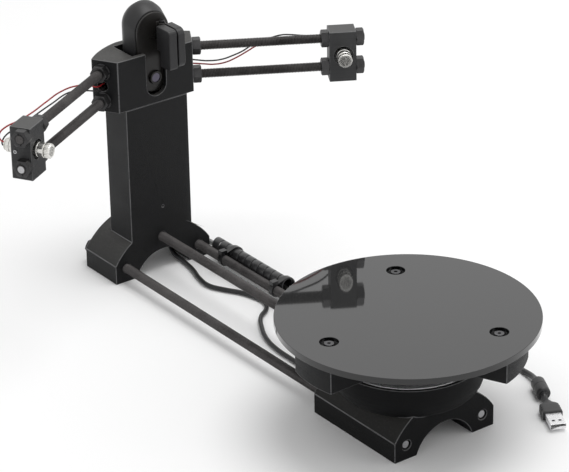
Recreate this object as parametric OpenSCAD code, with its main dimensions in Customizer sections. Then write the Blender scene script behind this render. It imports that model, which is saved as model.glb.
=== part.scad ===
// Desktop 3D scanner: a motor-driven turntable at the front, a column with a portrait camera at the back,
// and two line lasers on threaded arms. Printed parts are clamped on M8 threaded rods.
// X is the width, Y runs from the turntable to the column, Z is up and 0 is the table.

/* [Turntable] */
// Diameter of the turning disc
disc_d = 200; // [190:1:210]
// Thickness of the disc
disc_t = 5; // [4:0.5:6]
// Height of the disc's top above the table
disc_top_z = 91.5; // [90:0.5:96]
// Diameter of the three sunk holes in the disc
disc_hole_d = 14.5; // [12:0.5:16]
// Depth of the sunk holes
disc_hole_depth = 3.2; // [2.6:0.1:3.5]
// Diameter of the circle that the three holes lie on
hole_circle_d = 145; // [135:1:150]
// Direction of the first hole, in degrees from +X
hole_angle = 178.6; // [0:1:360]
// Radius at which the three arms of the disc's holder end
holder_r = 90.3; // [84:0.1:93]
// Width of each arm at its end
holder_arm_w = 46; // [36:1:52]
// Height of the underside of the holder's arms
holder_z = 62.2; // [61.5:0.1:70]
// Thickness of the holder's top plate
holder_plate = 4; // [3:0.5:6]
// Thickness of the holder's walls
holder_wall = 3.2; // [2.4:0.1:4]

/* [Bearing] */
// Bore of the large bearing
bearing_bore = 70; // [70:1:71]
// Outer diameter of the large bearing
bearing_od = 110; // [109:1:111]
// Width of the large bearing
bearing_w = 13; // [12:0.5:14]
// Diameter of a ball
ball_d = 8.7; // [8:0.1:9]
// Number of balls
ball_count = 18; // [12:1:20]

/* [Feet] */
// Half the width of both feet
foot_half_w = 47.6; // [46:0.1:50]
// Radius of the feet's outer arch
foot_arch_r = 56; // [54:0.5:58]
// Radius of the opening under the feet
foot_inner_r = 28; // [25:0.5:29]
// Length of the front foot in front of the turntable's axis
foot_front = 44; // [40:0.5:50]
// Length of the front foot behind the turntable's axis
foot_back = 54.5; // [52:0.5:60]
// Distance from the turntable's axis to the front of the column
column_y = 326.5; // [300:0.5:345]
// Length of the column's foot
column_foot_len = 45.6; // [42:0.2:50]

/* [Rods] */
// Diameter of the threaded rods
rod_d = 8; // [7.6:0.1:8.2]
// Distance of the outer rods from the middle
rod_x = 36.5; // [36:0.1:38]
// Height of the outer rods
rod_z = 12.3; // [12:0.1:13]
// Height of the middle rod
mid_rod_z = 31; // [30:0.5:32]
// Width of the hexagon nuts across their flats
nut_af = 13; // [12.5:0.1:13.2]
// Height of the hexagon nuts
nut_h = 6.5; // [5:0.1:6.8]
// How far the rods stand out of their nuts
rod_out = 2.8; // [1:0.1:4]
// Clearance round rods, screws and set-in parts
fit_gap = 0.1; // [0.05:0.01:0.15]

/* [Motor] */
// Width of the stepper motor
motor_w = 42.3; // [42:0.1:42.5]
// Length of the stepper motor
motor_len = 34; // [32:1:35]
// Distance between the motor's screws
motor_screw_pitch = 31; // [30.5:0.1:31.5]
// Diameter of the motor's shaft
shaft_d = 5; // [4.5:0.1:6]
// Length of the shaft above the motor
shaft_len = 24; // [20:0.5:26]
// Thickness of the plate that the motor hangs from
motor_plate = 4; // [3.5:0.1:5]
// Running gap between rotor and stator
rotor_gap = 0.3; // [0.3:0.05:0.5]

/* [Column] */
// Half the width of the column
column_half_w = 30.5; // [30:0.1:31.5]
// Depth of the column's side walls
column_depth = 32.5; // [31.5:0.5:34]
// Wall of the column
column_wall = 3; // [2.4:0.1:3.2]
// Height of the column's top
column_top_z = 152.5; // [150.5:0.5:153]
// Thickness of the column's top plate
column_plate = 4; // [3:0.5:5]

/* [Head] */
// Height of the head block
head_h = 44.5; // [44:0.5:46]
// Thickness of the head's floor
head_floor = 2.7; // [2.4:0.1:2.9]
// Thickness of the head's front wall
head_front_wall = 4.5; // [4:0.1:4.7]
// Distance of the head's end faces from the arms' crossing
head_end_u = 51; // [50:0.5:52]
// How far the arms swing forward, in degrees
arm_angle = 30.5; // [29:0.5:32]
// Place along Y where the two arms' lines cross
arm_y = 364.7; // [363:0.1:366]
// Height of the upper arm rods
arm_z_high = 187; // [186.5:0.1:187.4]
// Height of the lower arm rods
arm_z_low = 162; // [161.8:0.1:162.6]
// Distance of the arm rods' outer ends from the arms' crossing
arm_len = 194.5; // [193.5:0.5:200]

/* [Lasers] */
// Where the laser holders start along the arms
laser_u = 164.6; // [150:0.1:168]
// Width of a laser holder along its arm
laser_w = 22.6; // [20:0.2:24]
// Depth of a laser holder in front of its rods
laser_front = 5.9; // [5.6:0.1:7]
// Depth of a laser holder behind its rods
laser_back = 11.8; // [11:0.2:14]
// Height of a laser holder
laser_h = 44; // [43:0.5:46]
// Height of a laser holder's underside
laser_z = 150; // [149:0.5:151]
// Diameter of the laser barrels
barrel_d = 12; // [11:0.1:12]
// Height of the laser barrels' axes
barrel_z = 173; // [173:0.1:174]
// How far a laser stands out of its holder's front
barrel_out = 12; // [8:0.5:14]
// How far a laser's barrel stands out of its holder's back
barrel_back = 8; // [6:0.5:12]
// Length of the focus ring
focus_len = 4.5; // [3.5:0.1:5]

/* [Camera] */
// Sideways place of the camera
camera_x = 2; // [1:0.1:3]
// Width of the camera
camera_w = 36; // [34:0.5:36.5]
// Height of the camera's lowest point
camera_z = 158; // [157.9:0.1:158.3]
// Height of the whole camera
camera_h = 77; // [74:0.5:80]
// Place along Y of the camera's front face
camera_y = 331.5; // [331.4:0.1:331.6]
// Depth of the camera
camera_depth = 24.5; // [24:0.1:25]
// Height of the camera's lens
lens_z = 173; // [172:0.5:177]

/* [Electronics] */
// Width of the controller board
board_w = 53.4; // [52:0.1:53.8]
// Height of the controller board
board_h = 68.6; // [66:0.1:69]
// Height of the controller board's lower edge
board_z = 76; // [75:0.5:77]
// Travel of the reset button
button_travel = 0.25; // [0.2:0.05:0.3]

/* [Cables] */
// Diameter of the lead that ends in the plug
usb_d = 4.5; // [4:0.1:4.6]
// Diameter of the motor's lead
motor_lead_d = 3.8; // [3:0.1:4]
// Diameter of the lasers' leads
laser_lead_d = 1.3; // [1.2:0.1:1.7]
// Turns of the spiral wrap
wrap_turns = 11; // [8:1:12]
// Thickness of the spiral wrap's band
wrap_t = 1.1; // [0.8:0.1:1.2]
// Width of the spiral wrap's band
wrap_band = 6.4; // [5:0.1:7.5]

/* [Hidden] */
$fn = 96;
fine = 32;
eps = 0.01;
y_min = -disc_d / 2;
column_back = column_y + column_foot_len;
washer_t = 1.6;
washer_d = 16;
rod_end_y = column_back + washer_t + nut_h + rod_out;
// The part's origin is the middle of its footprint
y_mid = (y_min + rod_end_y) / 2;

disc_bottom = disc_top_z - disc_t;
foot_arch_z = -13;
foot_inner_z = -8.5;

bearing_z = 45.5;
bearing_top = bearing_z + bearing_w;
ball_pitch_r = (bearing_bore + bearing_od) / 4;
ball_mid = bearing_z + bearing_w / 2;
race_gap = 0.3;
ring_space = 2.5;
race_r = ball_d / 2 + race_gap;
cage_t = 3.4;
cage_h = 10.8;
cage_pocket_gap = 0.15;

bowl_wall = 3;
bowl_r = bearing_od / 2 + bowl_wall;
bowl_straight_z = 48;
bowl_low_z = 30;
bowl_low_r = 45;
bowl_rim_z = bearing_top - 0.5;

motor_top = bearing_z - motor_plate;
motor_bottom = motor_top - motor_len;
cap_front_h = 8;
cap_rear_h = 9.5;
boss_d = 22;
boss_h = 2;
rotor_d = 25;
flat_depth = 0.5;
m3 = 3;
m3_head_d = 5.5;
m3_head_h = 3;
socket_x = -6;
socket_z = 12.5;

spigot_wall = 4;
spigot_z = 47;
spigot_room_top = 59;
hub_boss_d = 20;
hub_r = bearing_bore / 2 + 4.5;

screw_d = 4;
screw_head_d = 7.6;
screw_head_h = 2.2;
screw_len = 10;

trap_y_outer = 20;
trap_y_mid = 38;
trap_gap = 0.15;
mid_rod_start = 26;
rod_start = 1.2 - foot_front;

window_x = [15, 25];
window_y = [342, 356];

head_z = column_top_z;
head_top = head_z + head_h;
head_back_r = 71.4;
head_back_y = 366;
head_roof = 3;
slot_half_w = 9.5;
slot_x = 0.3;
slot_low_z = 158.8;
pocket_x = [-19.5, 23.5];
pocket_back = 358;
nut_room_u = [33, 45];
nut_room_v = 7.9;
inner_room_u = 20;
inner_room_v = 4;
wire_hole_d = 9;
wire_z = 174.5;
drop_hole = [17.6, 348.9];
drop_hole_d = 9;
head_screw_at = [[-14, 335.5], [18, 335.5], [-6, 354.8], [10, 354.8]];
seat_y = [343, 351];
seat_half_w = 5;
seat_gap = 0.2;

rod_inner_u = 36;
nut_seat_u = [nut_room_u[1] - nut_h, head_end_u + 1, laser_u - nut_h, laser_u + laser_w];

barrel_u = laser_u + laser_w / 2 + 0.6;
pocket_r = 8;
pocket_depth = 3;
tail_len = 3;
focus_neck_d = 9;
focus_gap = 0.5;
lens_t = 1.2;
set_screw_v = 8;
set_screw_len = 5;
touch_gap = 0.3;

board_y = 341;
board_t = 1.6;
socket_w = 12;
socket_h = 16;
socket_d = 11;
socket_mid_x = 12;
board_plug_len = 12.5;
terminal_z = [134, 145.9];
terminal_d = 9.4;
driver_x = [-18, -3];
driver_z = [100, 120.3];
header_w = 2.5;
header_h = 8;
button_x = -13;
button_z = 84;
button_d = 3.4;

clip_pin_x = 8.7;
clip_pin_y = 328;
clip_pin_d = 2.4;
knuckle_d = 6.4;
clip_gap = 0.3;
clip_low_z = 186;
clip_mid_z = 199.3;
clip_high_z = 220;
lug_z = [200, 217];
lug_h = 3.4;
clip_left_x = [0.5, 8.2];
clip_right_x = [9.4, 16];
knuckle_left_z = [203.8, 209.9];
knuckle_right_z = [210.4, 216.6];

wrap_at = [rod_x + rod_d / 2 + 0.3 + 6.5, 13];
wrap_y = [314, 214];
wrap_r = 6.5;
lead_drop = 3;
tie_w = 4.6;
tie_t = 1.2;
tie_y = [218, 290];

// Where the lead leaves its plug at the board
usb_exit = [socket_mid_x, 348, 54];
// Where the lead runs from the board round the column's foot to the wrap
usb_start = [
    usb_exit, [12, 348.7, 50.4], [12, 350.8, 47.3], [12, 353.9, 45.2], [12, 357.5, 44.5], [12.2, 366, 44.4],
    [13, 375, 43.2], [15.5, 383.5, 38],
    [19, 389, 29], [25, 392, 18], [33, 393, 8], [43, 391, 3], [52, 383, 2.5], [56, 370, 2.5],
    [57.2, 345, 2.8], [55, 335, 5], [51.2, 326, 8.4], [48.4, 318.5, 9.8]
];
// Where it leaves the wrap, turns under the disc and ends in the plug
usb_end = [
    [48.2, 206, 8.9], [53, 196, 5.4], [60.5, 184, 2.8], [73, 165, 2.5], [88, 130, 2.5], [102, 92, 2.5], [112, 50, 2.5],
    [117, 20, 2.5], [117, 2, 2.5], [114.6, -12, 4.2], [109.8, -22.6, 6], [105, -32, 6], [100.2, -41.4, 6],
    [97.3, -45.6, 4.6], [94.6, -50.9, 4.6]
];
ferrite_at = [105, -32, 6];
ferrite_len = 21;
ferrite_d = 11.4;
plug_at = [85.9, -67.9, 4.6];
// How far the plug and the bead are turned from the Y axis, in degrees
plug_turn = 27;
plug_len = 19;
plug_w = 15.5;
plug_h = 8;
shell_len = 17;
shell_w = 12;
shell_h = 4.5;
// Where the motor's lead runs from the board through the column's foot to the motor
motor_route = [
    [20.5, 347.2, 84], [20.5, 347.2, 70], [20.5, 348, 52], [20, 349, 36], [20.5, 348.5, 16], [20.5, 346, 7],
    [20, 340, 2.5], [19, 325, 2],
    [16, 307, 2], [11, 290, 2], [9.5, 274, 2], [15, 261, 2], [23, 247, 2], [27, 234, 2], [28, 222, 2],
    [23, 212, 2], [10, 202, 2], [0, 187, 2], [-8, 170, 2], [-12, 152, 2], [-13, 130, 2], [-13, 100, 2],
    [-12, 70, 2], [-10, 48, 3.5], [-7.5, 36, 9], [-6.4, 28, 12.2], [-6, 22, 12.5], [-6, 19.6, 12.5]
];
// The lasers' leads: distance along the arm, distance behind its rods, and height
left_red = [
    [176.9, 22, 174.5], [176.9, 24, 174.7], [176.9, 26, 175.8], [176.9, 27.2, 178.2], [176.4, 26.6, 181.6],
    [173.6, 23, 185.6], [166, 17, 188.2], [150, 13.4, 188.8], [126, 12, 189.2], [100, 12, 187.8],
    [80, 9, 185], [66, 5, 180.5], [57, 1.5, 176.3], [46, 1, 175.5], [35, 2, 173.8], [27, 3.5, 169.5],
    [22.5, -2.5, 161], [22, -4, 152], [22, -4, 146.2]
];
left_black = [
    [176.9, 22, 171.5], [176.6, 24, 171.5], [175.2, 25.9, 172.3], [173, 26.1, 174.6], [170.4, 24.2, 177.8],
    [165.6, 19.8, 181], [156, 15.4, 182.8], [142, 14, 183.8], [121, 10.5, 185.5], [92, 8.5, 184.5],
    [70, 5, 177.5], [57, 0.5, 173.2], [46, -1, 172.8], [35, 0, 170.6], [27, 0, 164.5], [24.6, -4.5, 159],
    [24.4, -5.4, 152], [24.4, -5.4, 146.2]
];
right_red = [
    [176.9, 22, 171.5], [176.7, 24, 171.5], [175.4, 25.9, 171.6], [172.8, 26.6, 172.1], [168, 24.8, 173.4],
    [155, 18, 177.4], [135, 15, 182.3], [118, 13.2, 182], [105, 11, 179], [99, 10, 176], [88.7, 9, 170.8],
    [79.6, 8, 167.5], [70, 7, 166.7], [61, 3.5, 169], [54, -1, 171.7], [46, -1.5, 172.5], [35, 0, 170.6],
    [27, 0, 164.5], [24.6, -4.5, 159], [24.4, -5.4, 152], [24.4, -5.4, 146.2]
];
right_black = [
    [176.9, 22, 174.5], [176.7, 24.1, 174.6], [175.6, 26.1, 175.2], [173, 27.2, 176.6], [168, 25, 179.6],
    [158, 18, 182.6], [145, 14, 185], [133, 12.2, 187.2], [127, 12, 187.4], [118, 12, 185.4],
    [103, 10.5, 181], [93.5, 9, 176], [86, 8, 173.3], [77, 6, 171.3], [65, 3, 171.8], [54, 0.5, 174.3],
    [46, 1, 175.3], [35, 2.5, 174], [27, 3.5, 169.5], [22.5, -2.5, 161], [22, -4, 152], [22, -4, 146.2]
];

// ---- helpers ----

// Moves the model from the turntable's axis to the part's origin
module place() {
    translate([0, -y_mid, 0]) children();
}

// A cylinder along Y from y0 to y1, at x and z
module along_y(x, z, y0, y1, d) {
    translate([x, y0, z]) rotate([-90, 0, 0]) cylinder(d = d, h = y1 - y0);
}

// A cylinder along X from x0 to x1, at y and z
module along_x(y, z, x0, x1, d) {
    translate([x0, y, z]) rotate([0, 90, 0]) cylinder(d = d, h = x1 - x0);
}

// A hexagonal prism along Y with its flats up and down
module hex_y(x, z, y0, y1, af) {
    translate([x, y0, z]) rotate([-90, 0, 0]) cylinder(d = af / cos(30), h = y1 - y0, $fn = 6);
}

// Puts children in an arm's frame: X along the arm, Y behind it, Z up; side is 1 for right and -1 for left
module on_arm(side) {
    mirror([side < 0 ? 1 : 0, 0, 0]) translate([0, arm_y, 0]) rotate(-arm_angle) children();
}

// A box given by its two corners
module box(low, high) {
    translate(low) cube(high - low);
}

// The point of a laser lead in the scanner's frame
function arm_point(side, p) = [
    side * (p[0] * cos(arm_angle) + p[1] * sin(arm_angle)),
    arm_y - p[0] * sin(arm_angle) + p[1] * cos(arm_angle),
    p[2]
];
function arm_route(side, route) = [for (p = route) arm_point(side, p)];

function unit(v) = v / norm(v);
// Direction of a route at point i
function heading(r, i) = unit(r[min(i + 1, len(r) - 1)] - r[max(i - 1, 0)]);
function side_of(t) = abs(t[2]) > 0.95 ? unit(cross(t, [1, 0, 0])) : unit(cross(t, [0, 0, 1]));
// Carries the side direction a from one ring to the next, so that the tube does not twist
function carried(a, t) = unit(a - (a * t) * t);
function frames(r, i = 0, a = undef, done = []) =
    i == len(r) ? done :
    let(t = heading(r, i))
    let(b = is_undef(a) ? side_of(t) : carried(a, t))
    frames(r, i + 1, b, concat(done, [b]));
function route_length(r, i = 1) = i >= len(r) ? 0 : norm(r[i] - r[i - 1]) + route_length(r, i + 1);

// A closed skin over rings of n points each
module skin(points, n) {
    last = len(points) / n - 1;
    sides = [
        for (i = [0:last - 1], k = [0:n - 1])
            let(p = i * n + k)
            let(q = i * n + (k + 1) % n)
            each [[q + n, q, p], [p + n, q + n, p]]
    ];
    caps = [
        for (k = [1:n - 2])
            each [[k, k + 1, 0], [last * n + k + 1, last * n + k, last * n]]
    ];
    polyhedron(points = points, faces = concat(sides, caps));
}

// One closed tube along a route; section is a list of [across, up] points
module sweep(route, section) {
    ups = frames(route);
    skin([
        for (i = [0:len(route) - 1])
            let(a = ups[i])
            let(b = cross(heading(route, i), a))
            for (s = section) route[i] + s[0] * a + s[1] * b
    ], len(section));
}

function circle_points(d, n) = [for (k = [0:n - 1]) d / 2 * [cos(360 * k / n), sin(360 * k / n)]];
module tube(route, d, n = 8) {
    sweep(route, circle_points(d, n));
}

// ---- feet and turntable ----

// The arched outline of both feet, seen from the front
module foot_outline() {
    difference() {
        intersection() {
            translate([-foot_half_w, 0]) square([2 * foot_half_w, foot_arch_r + foot_arch_z]);
            translate([0, foot_arch_z]) circle(r = foot_arch_r, $fn = 180);
        }
        translate([0, foot_inner_z]) circle(r = foot_inner_r, $fn = 120);
    }
}

module foot_body(y0, y1) {
    translate([0, y1, 0]) rotate([90, 0, 0]) linear_extrude(y1 - y0) foot_outline();
}

// The bowl under the bearing: straight at the rim and drawn in below
module bowl_solid() {
    rise = bowl_straight_z - bowl_low_z;
    draw = bowl_r - bowl_low_r;
    rotate_extrude()
        polygon(concat(
            [[0, bowl_low_z]],
            [for (a = [0:15:90]) [bowl_low_r + draw * sin(a), bowl_straight_z - rise * cos(a)]],
            [[bowl_r, bowl_rim_z], [0, bowl_rim_z]]
        ));
}

module nut_trap(x, z, y0) {
    gap = trap_gap;
    half = nut_af / 2 / cos(30) + gap;
    box([x - half, y0 - gap, -1], [x + half, y0 + nut_h + gap, z + nut_af / 2 + gap]);
}

module front_foot() color("#1b1b1d") place() {
    pocket = motor_w / 2 + 0.2;
    difference() {
        union() {
            foot_body(-foot_front, foot_back);
            bowl_solid();
        }
        translate([0, 0, bearing_z]) cylinder(d = bearing_od + fit_gap, h = bearing_w + 5, $fn = 180);
        translate([0, 0, motor_top - 1]) cylinder(d = boss_d + 2 * fit_gap, h = motor_plate + 2);
        box([-pocket, -pocket, -1], [pocket, pocket, motor_top]);
        for (x = [-1, 1], y = [-1, 1])
            translate([x, y, 0] * motor_screw_pitch / 2) cylinder(d = m3 + 2 * fit_gap, h = bearing_z + 1);
        for (x = [-rod_x, rod_x])
            along_y(x, rod_z, -foot_front - 1, foot_back + 1, rod_d + 2 * fit_gap);
        for (x = [-rod_x, rod_x])
            nut_trap(x, rod_z, trap_y_outer);
        along_y(0, mid_rod_z, motor_w / 2 + 2, foot_back + 1, rod_d + 2 * fit_gap);
        nut_trap(0, mid_rod_z, trap_y_mid);
    }
}

module bearing_outer_ring() color("#c9ccd0") place() translate([0, 0, bearing_z]) difference() {
    cylinder(d = bearing_od - fit_gap, h = bearing_w, $fn = 180);
    translate([0, 0, -1]) cylinder(r = ball_pitch_r + ring_space, h = bearing_w + 2, $fn = 180);
    translate([0, 0, bearing_w / 2]) rotate_extrude($fn = 180) translate([ball_pitch_r, 0]) circle(r = race_r);
}

module bearing_inner_ring() color("#c9ccd0") place() translate([0, 0, bearing_z]) difference() {
    cylinder(r = ball_pitch_r - ring_space, h = bearing_w, $fn = 180);
    translate([0, 0, -1]) cylinder(d = bearing_bore, h = bearing_w + 2, $fn = 180);
    translate([0, 0, bearing_w / 2]) rotate_extrude($fn = 180) translate([ball_pitch_r, 0]) circle(r = race_r);
}

module bearing_balls() color("#e2e4e6") place()
    for (k = [0:ball_count - 1])
        rotate(k * 360 / ball_count) translate([ball_pitch_r, 0, ball_mid]) sphere(d = ball_d, $fn = 48);

module bearing_cage() color("#b08d4a") place() difference() {
    translate([0, 0, ball_mid - cage_h / 2]) difference() {
        cylinder(r = ball_pitch_r + cage_t / 2, h = cage_h);
        translate([0, 0, -1]) cylinder(r = ball_pitch_r - cage_t / 2, h = cage_h + 2);
    }
    for (k = [0:ball_count - 1])
        rotate(k * 360 / ball_count) translate([ball_pitch_r - cage_t, 0, ball_mid]) rotate([0, 90, 0])
            cylinder(d = ball_d + 2 * cage_pocket_gap, h = 2 * cage_t);
}

module motor_block(z0, z1, corner) {
    half = motor_w / 2;
    cut = half - corner;
    translate([0, 0, z0]) linear_extrude(z1 - z0)
        polygon([
            [half, cut], [cut, half], [-cut, half], [-half, cut],
            [-half, -cut], [-cut, -half], [cut, -half], [half, -cut]
        ]);
}

module motor_front_cap() color("#b9bcc0") place() difference() {
    union() {
        motor_block(motor_top - cap_front_h, motor_top, 3);
        translate([0, 0, motor_top]) cylinder(d = boss_d, h = boss_h);
    }
    translate([0, 0, motor_top - cap_front_h - 1]) cylinder(d = rotor_d + 1, h = cap_front_h - 2);
    translate([0, 0, motor_bottom]) cylinder(d = shaft_d + 1, h = motor_len + 5);
    for (x = [-1, 1], y = [-1, 1])
        translate([x * motor_screw_pitch / 2, y * motor_screw_pitch / 2, motor_top - 6])
            cylinder(d = m3 + fit_gap, h = 7);
}

module motor_stator() color("#3a3a3c") place() difference() {
    motor_block(motor_bottom + cap_rear_h, motor_top - cap_front_h, 5);
    cylinder(d = rotor_d + 2 * rotor_gap, h = motor_top);
}

module motor_rear_cap() color("#b9bcc0") place() difference() {
    motor_block(motor_bottom, motor_bottom + cap_rear_h, 3);
    translate([0, 0, motor_bottom + 3]) cylinder(d = rotor_d + 1, h = cap_rear_h);
    box([socket_x - 8.2, motor_w / 2 - 4.2, socket_z - 3.2], [socket_x + 8.2, motor_w, socket_z + 3.2]);
}

module shaft_shape(extra, z0, z1) {
    translate([0, 0, z0]) difference() {
        cylinder(d = shaft_d + 2 * extra, h = z1 - z0);
        translate([shaft_d / 2 - flat_depth + extra, -shaft_d, -1]) cube([shaft_d, 2 * shaft_d, z1 - z0 + 2]);
    }
}

module motor_rotor() color("#8d9094") place() union() {
    translate([0, 0, motor_bottom + 4]) cylinder(d = rotor_d, h = motor_len - 4 - 5);
    shaft_shape(0, motor_bottom + 3.3, motor_top + shaft_len);
}

module cap_screw(d, head_d, head_h, length, socket) {
    difference() {
        union() {
            cylinder(d = head_d, h = head_h);
            translate([0, 0, -length]) cylinder(d = d, h = length + eps);
        }
        translate([0, 0, head_h - head_h * 0.55]) cylinder(d = socket / cos(30), h = head_h, $fn = 6);
    }
}

module motor_screws() color("#9a9da1") place()
    for (x = [-1, 1], y = [-1, 1])
        translate([x * motor_screw_pitch / 2, y * motor_screw_pitch / 2, bearing_z])
            cap_screw(m3, m3_head_d, m3_head_h, motor_plate + 5, 2.5);

module motor_socket() color("#ecebe6") place() difference() {
    box([socket_x - 8, motor_w / 2 - 4, socket_z - 3], [socket_x + 8, motor_w / 2 + 2, socket_z + 3]);
    box([socket_x - 7, motor_w / 2 - 2, socket_z - 2], [socket_x + 7, motor_w / 2 + 3, socket_z + 2]);
}

module turntable_disc() color("#101012") place() difference() {
    translate([0, 0, disc_bottom]) cylinder(d = disc_d, h = disc_t, $fn = 240);
    for (k = [0:2])
        rotate(hole_angle + k * 120) translate([hole_circle_d / 2, 0, 0]) {
            translate([0, 0, disc_top_z - disc_hole_depth]) cylinder(d = disc_hole_d, h = disc_t);
            cylinder(d = screw_d + 2 * fit_gap, h = disc_top_z + 1);
        }
}

// One arm of the disc's holder, seen from above and made smaller by inset
module holder_arm_outline(inset) {
    half = holder_arm_w / 2 - inset;
    intersection() {
        circle(r = holder_r - inset, $fn = 180);
        polygon([[0, -hub_r * 0.45 + inset], [holder_r + 5, -half], [holder_r + 5, half], [0, hub_r * 0.45 - inset]]);
    }
}

module disc_holder() color("#1f1f21") place() difference() {
    union() {
        translate([0, 0, holder_z]) linear_extrude(disc_bottom - holder_z) {
            circle(r = hub_r);
            for (k = [0:2])
                rotate(hole_angle + k * 120) holder_arm_outline(0);
        }
        translate([0, 0, bearing_top]) cylinder(r = ball_pitch_r - ring_space - 1, h = holder_z - bearing_top + 1);
        translate([0, 0, spigot_z]) cylinder(d = bearing_bore - fit_gap, h = holder_z - spigot_z + 1);
    }
    for (k = [0:2])
        rotate(hole_angle + k * 120) {
            difference() {
                translate([0, 0, holder_z - 1]) linear_extrude(disc_bottom - holder_z + 1 - holder_plate)
                    holder_arm_outline(holder_wall);
                cylinder(r = hub_r - holder_wall, h = disc_top_z);
                translate([hole_circle_d / 2, 0, 0]) cylinder(r = screw_d / 2 + 3, h = disc_top_z);
            }
            translate([hole_circle_d / 2, 0, disc_bottom - screw_len]) cylinder(d = screw_d + fit_gap, h = disc_t + 10);
        }
    difference() {
        translate([0, 0, spigot_z - 1]) cylinder(d = bearing_bore - 2 * spigot_wall, h = spigot_room_top - spigot_z + 1);
        cylinder(d = hub_boss_d, h = disc_top_z);
    }
    shaft_shape(fit_gap / 2, spigot_z - 1, motor_top + shaft_len + 0.5);
}

module disc_screws() color("#a8abaf") place()
    for (k = [0:2])
        rotate(hole_angle + k * 120) translate([hole_circle_d / 2, 0, disc_top_z - disc_hole_depth])
            cap_screw(screw_d, screw_head_d, screw_head_h, screw_len - 1, 2.5);

// ---- rods and their nuts ----

module rod_left() color("#232427") place() along_y(-rod_x, rod_z, rod_start, rod_end_y, rod_d);
module rod_right() color("#232427") place() along_y(rod_x, rod_z, rod_start, rod_end_y, rod_d);
module rod_middle() color("#232427") place() along_y(0, mid_rod_z, mid_rod_start, rod_end_y, rod_d);

module nut_y(x, z, y0) {
    difference() {
        hex_y(x, z, y0, y0 + nut_h, nut_af);
        along_y(x, z, y0 - 1, y0 + nut_h + 1, rod_d + fit_gap);
    }
}

module base_nuts() color("#1d1e20") place() {
    for (x = [-rod_x, rod_x]) {
        nut_y(x, rod_z, column_back + washer_t);
        nut_y(x, rod_z, trap_y_outer);
    }
    nut_y(0, mid_rod_z, column_back + washer_t);
    nut_y(0, mid_rod_z, trap_y_mid);
}

module base_washers() color("#1d1e20") place()
    for (p = [[-rod_x, rod_z], [0, mid_rod_z], [rod_x, rod_z]])
        difference() {
            along_y(p[0], p[1], column_back, column_back + washer_t, washer_d);
            along_y(p[0], p[1], column_back - 1, column_back + washer_t + 1, rod_d + 2 * fit_gap);
        }

// ---- column and head ----

// The column's outline from above: a U that is open at the back
module column_outline() {
    back = column_y + column_depth;
    lip = 3;
    difference() {
        union() {
            translate([-column_half_w, column_y]) square([2 * column_half_w - 2, column_depth - 2]);
            translate([-column_half_w, column_y + 2]) square([2 * column_half_w, column_depth - 4]);
            translate([column_half_w - 2, column_y + 2]) circle(r = 2);
            for (side = [-1, 1])
                translate([side * (column_half_w - 2), back - 2]) circle(r = 2);
            translate([-column_half_w + 2, back - 4]) square([2 * column_half_w - 4, 4]);
        }
        translate([-column_half_w + column_wall, column_y + column_wall])
            square([2 * (column_half_w - column_wall), column_depth - column_wall - lip]);
        translate([-column_half_w + column_wall + lip, column_y + column_wall])
            square([2 * (column_half_w - column_wall - lip), column_depth]);
    }
}

module column_plate_outline() {
    translate([-column_half_w, column_y]) square([2 * column_half_w - 2, column_depth - 2]);
    translate([-column_half_w, column_y + 2]) square([2 * column_half_w, column_depth - 4]);
    translate([column_half_w - 2, column_y + 2]) circle(r = 2);
    translate([-column_half_w + 2, column_y + column_depth - 4]) square([2 * column_half_w - 4, 4]);
    for (side = [-1, 1])
        translate([side * (column_half_w - 2), column_y + column_depth - 2]) circle(r = 2);
}

// The four places where the controller board is screwed on
module at_board_holes() {
    for (x = [-1, 1], z = [4, board_h - 4])
        translate([x * (board_w / 2 - 4), board_y, board_z + z]) rotate([90, 0, 0]) children();
}

module column() color("#1b1b1d") place() difference() {
    union() {
        foot_body(column_y, column_back);
        translate([0, 0, foot_arch_z + foot_arch_r - 14])
            linear_extrude(column_top_z - foot_arch_z - foot_arch_r + 14) column_outline();
        translate([0, 0, column_top_z - column_plate]) linear_extrude(column_plate) column_plate_outline();
        at_board_holes() cylinder(d = 6, h = board_y - column_y - column_wall / 2);
    }
    at_board_holes() translate([0, 0, -1]) cylinder(d = m3 + fit_gap, h = 9);
    for (x = [-rod_x, rod_x])
        along_y(x, rod_z, column_y - 1, column_back + 1, rod_d + 2 * fit_gap);
    along_y(0, mid_rod_z, column_y - 1, column_back + 1, rod_d + 2 * fit_gap);
    box([window_x[0], window_y[0], -1], [window_x[1], window_y[1], foot_arch_z + foot_arch_r + 2]);
    along_y(1.6, 58.4, column_y - 1, column_y + 1.5, 2.2);
    for (p = head_screw_at)
        translate([p[0], p[1], column_top_z - column_plate - 1]) cylinder(d = m3 + fit_gap, h = column_plate + 2);
    for (side = [-1, 1])
        translate([side * drop_hole[0], drop_hole[1], column_top_z - column_plate - 1])
            cylinder(d = drop_hole_d, h = column_plate + 2);
}

// The head from above: a straight front, end faces square to the arms, and a curved back
module head_outline() {
    c = cos(arm_angle);
    s = sin(arm_angle);
    front_v = (column_y - arm_y + head_end_u * s) / c;
    front_corner = arm_point(1, [head_end_u, front_v, 0]);
    far_corner = arm_point(1, [head_end_u, 30, 0]);
    intersection() {
        polygon([
            [front_corner[0], front_corner[1]], [far_corner[0], far_corner[1]],
            [-far_corner[0], far_corner[1]], [-front_corner[0], front_corner[1]]
        ]);
        translate([0, head_back_y - head_back_r]) circle(r = head_back_r, $fn = 180);
    }
}

// The room round the inner ends of one arm's rods, in the arm's frame
module nut_room() {
    low = head_z + head_floor;
    high = head_top - head_roof;
    box([nut_room_u[0], -nut_room_v, low], [nut_room_u[1], nut_room_v, high]);
    box([inner_room_u, -nut_room_v, low], [nut_room_u[0] + 1, inner_room_v, high]);
}

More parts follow.
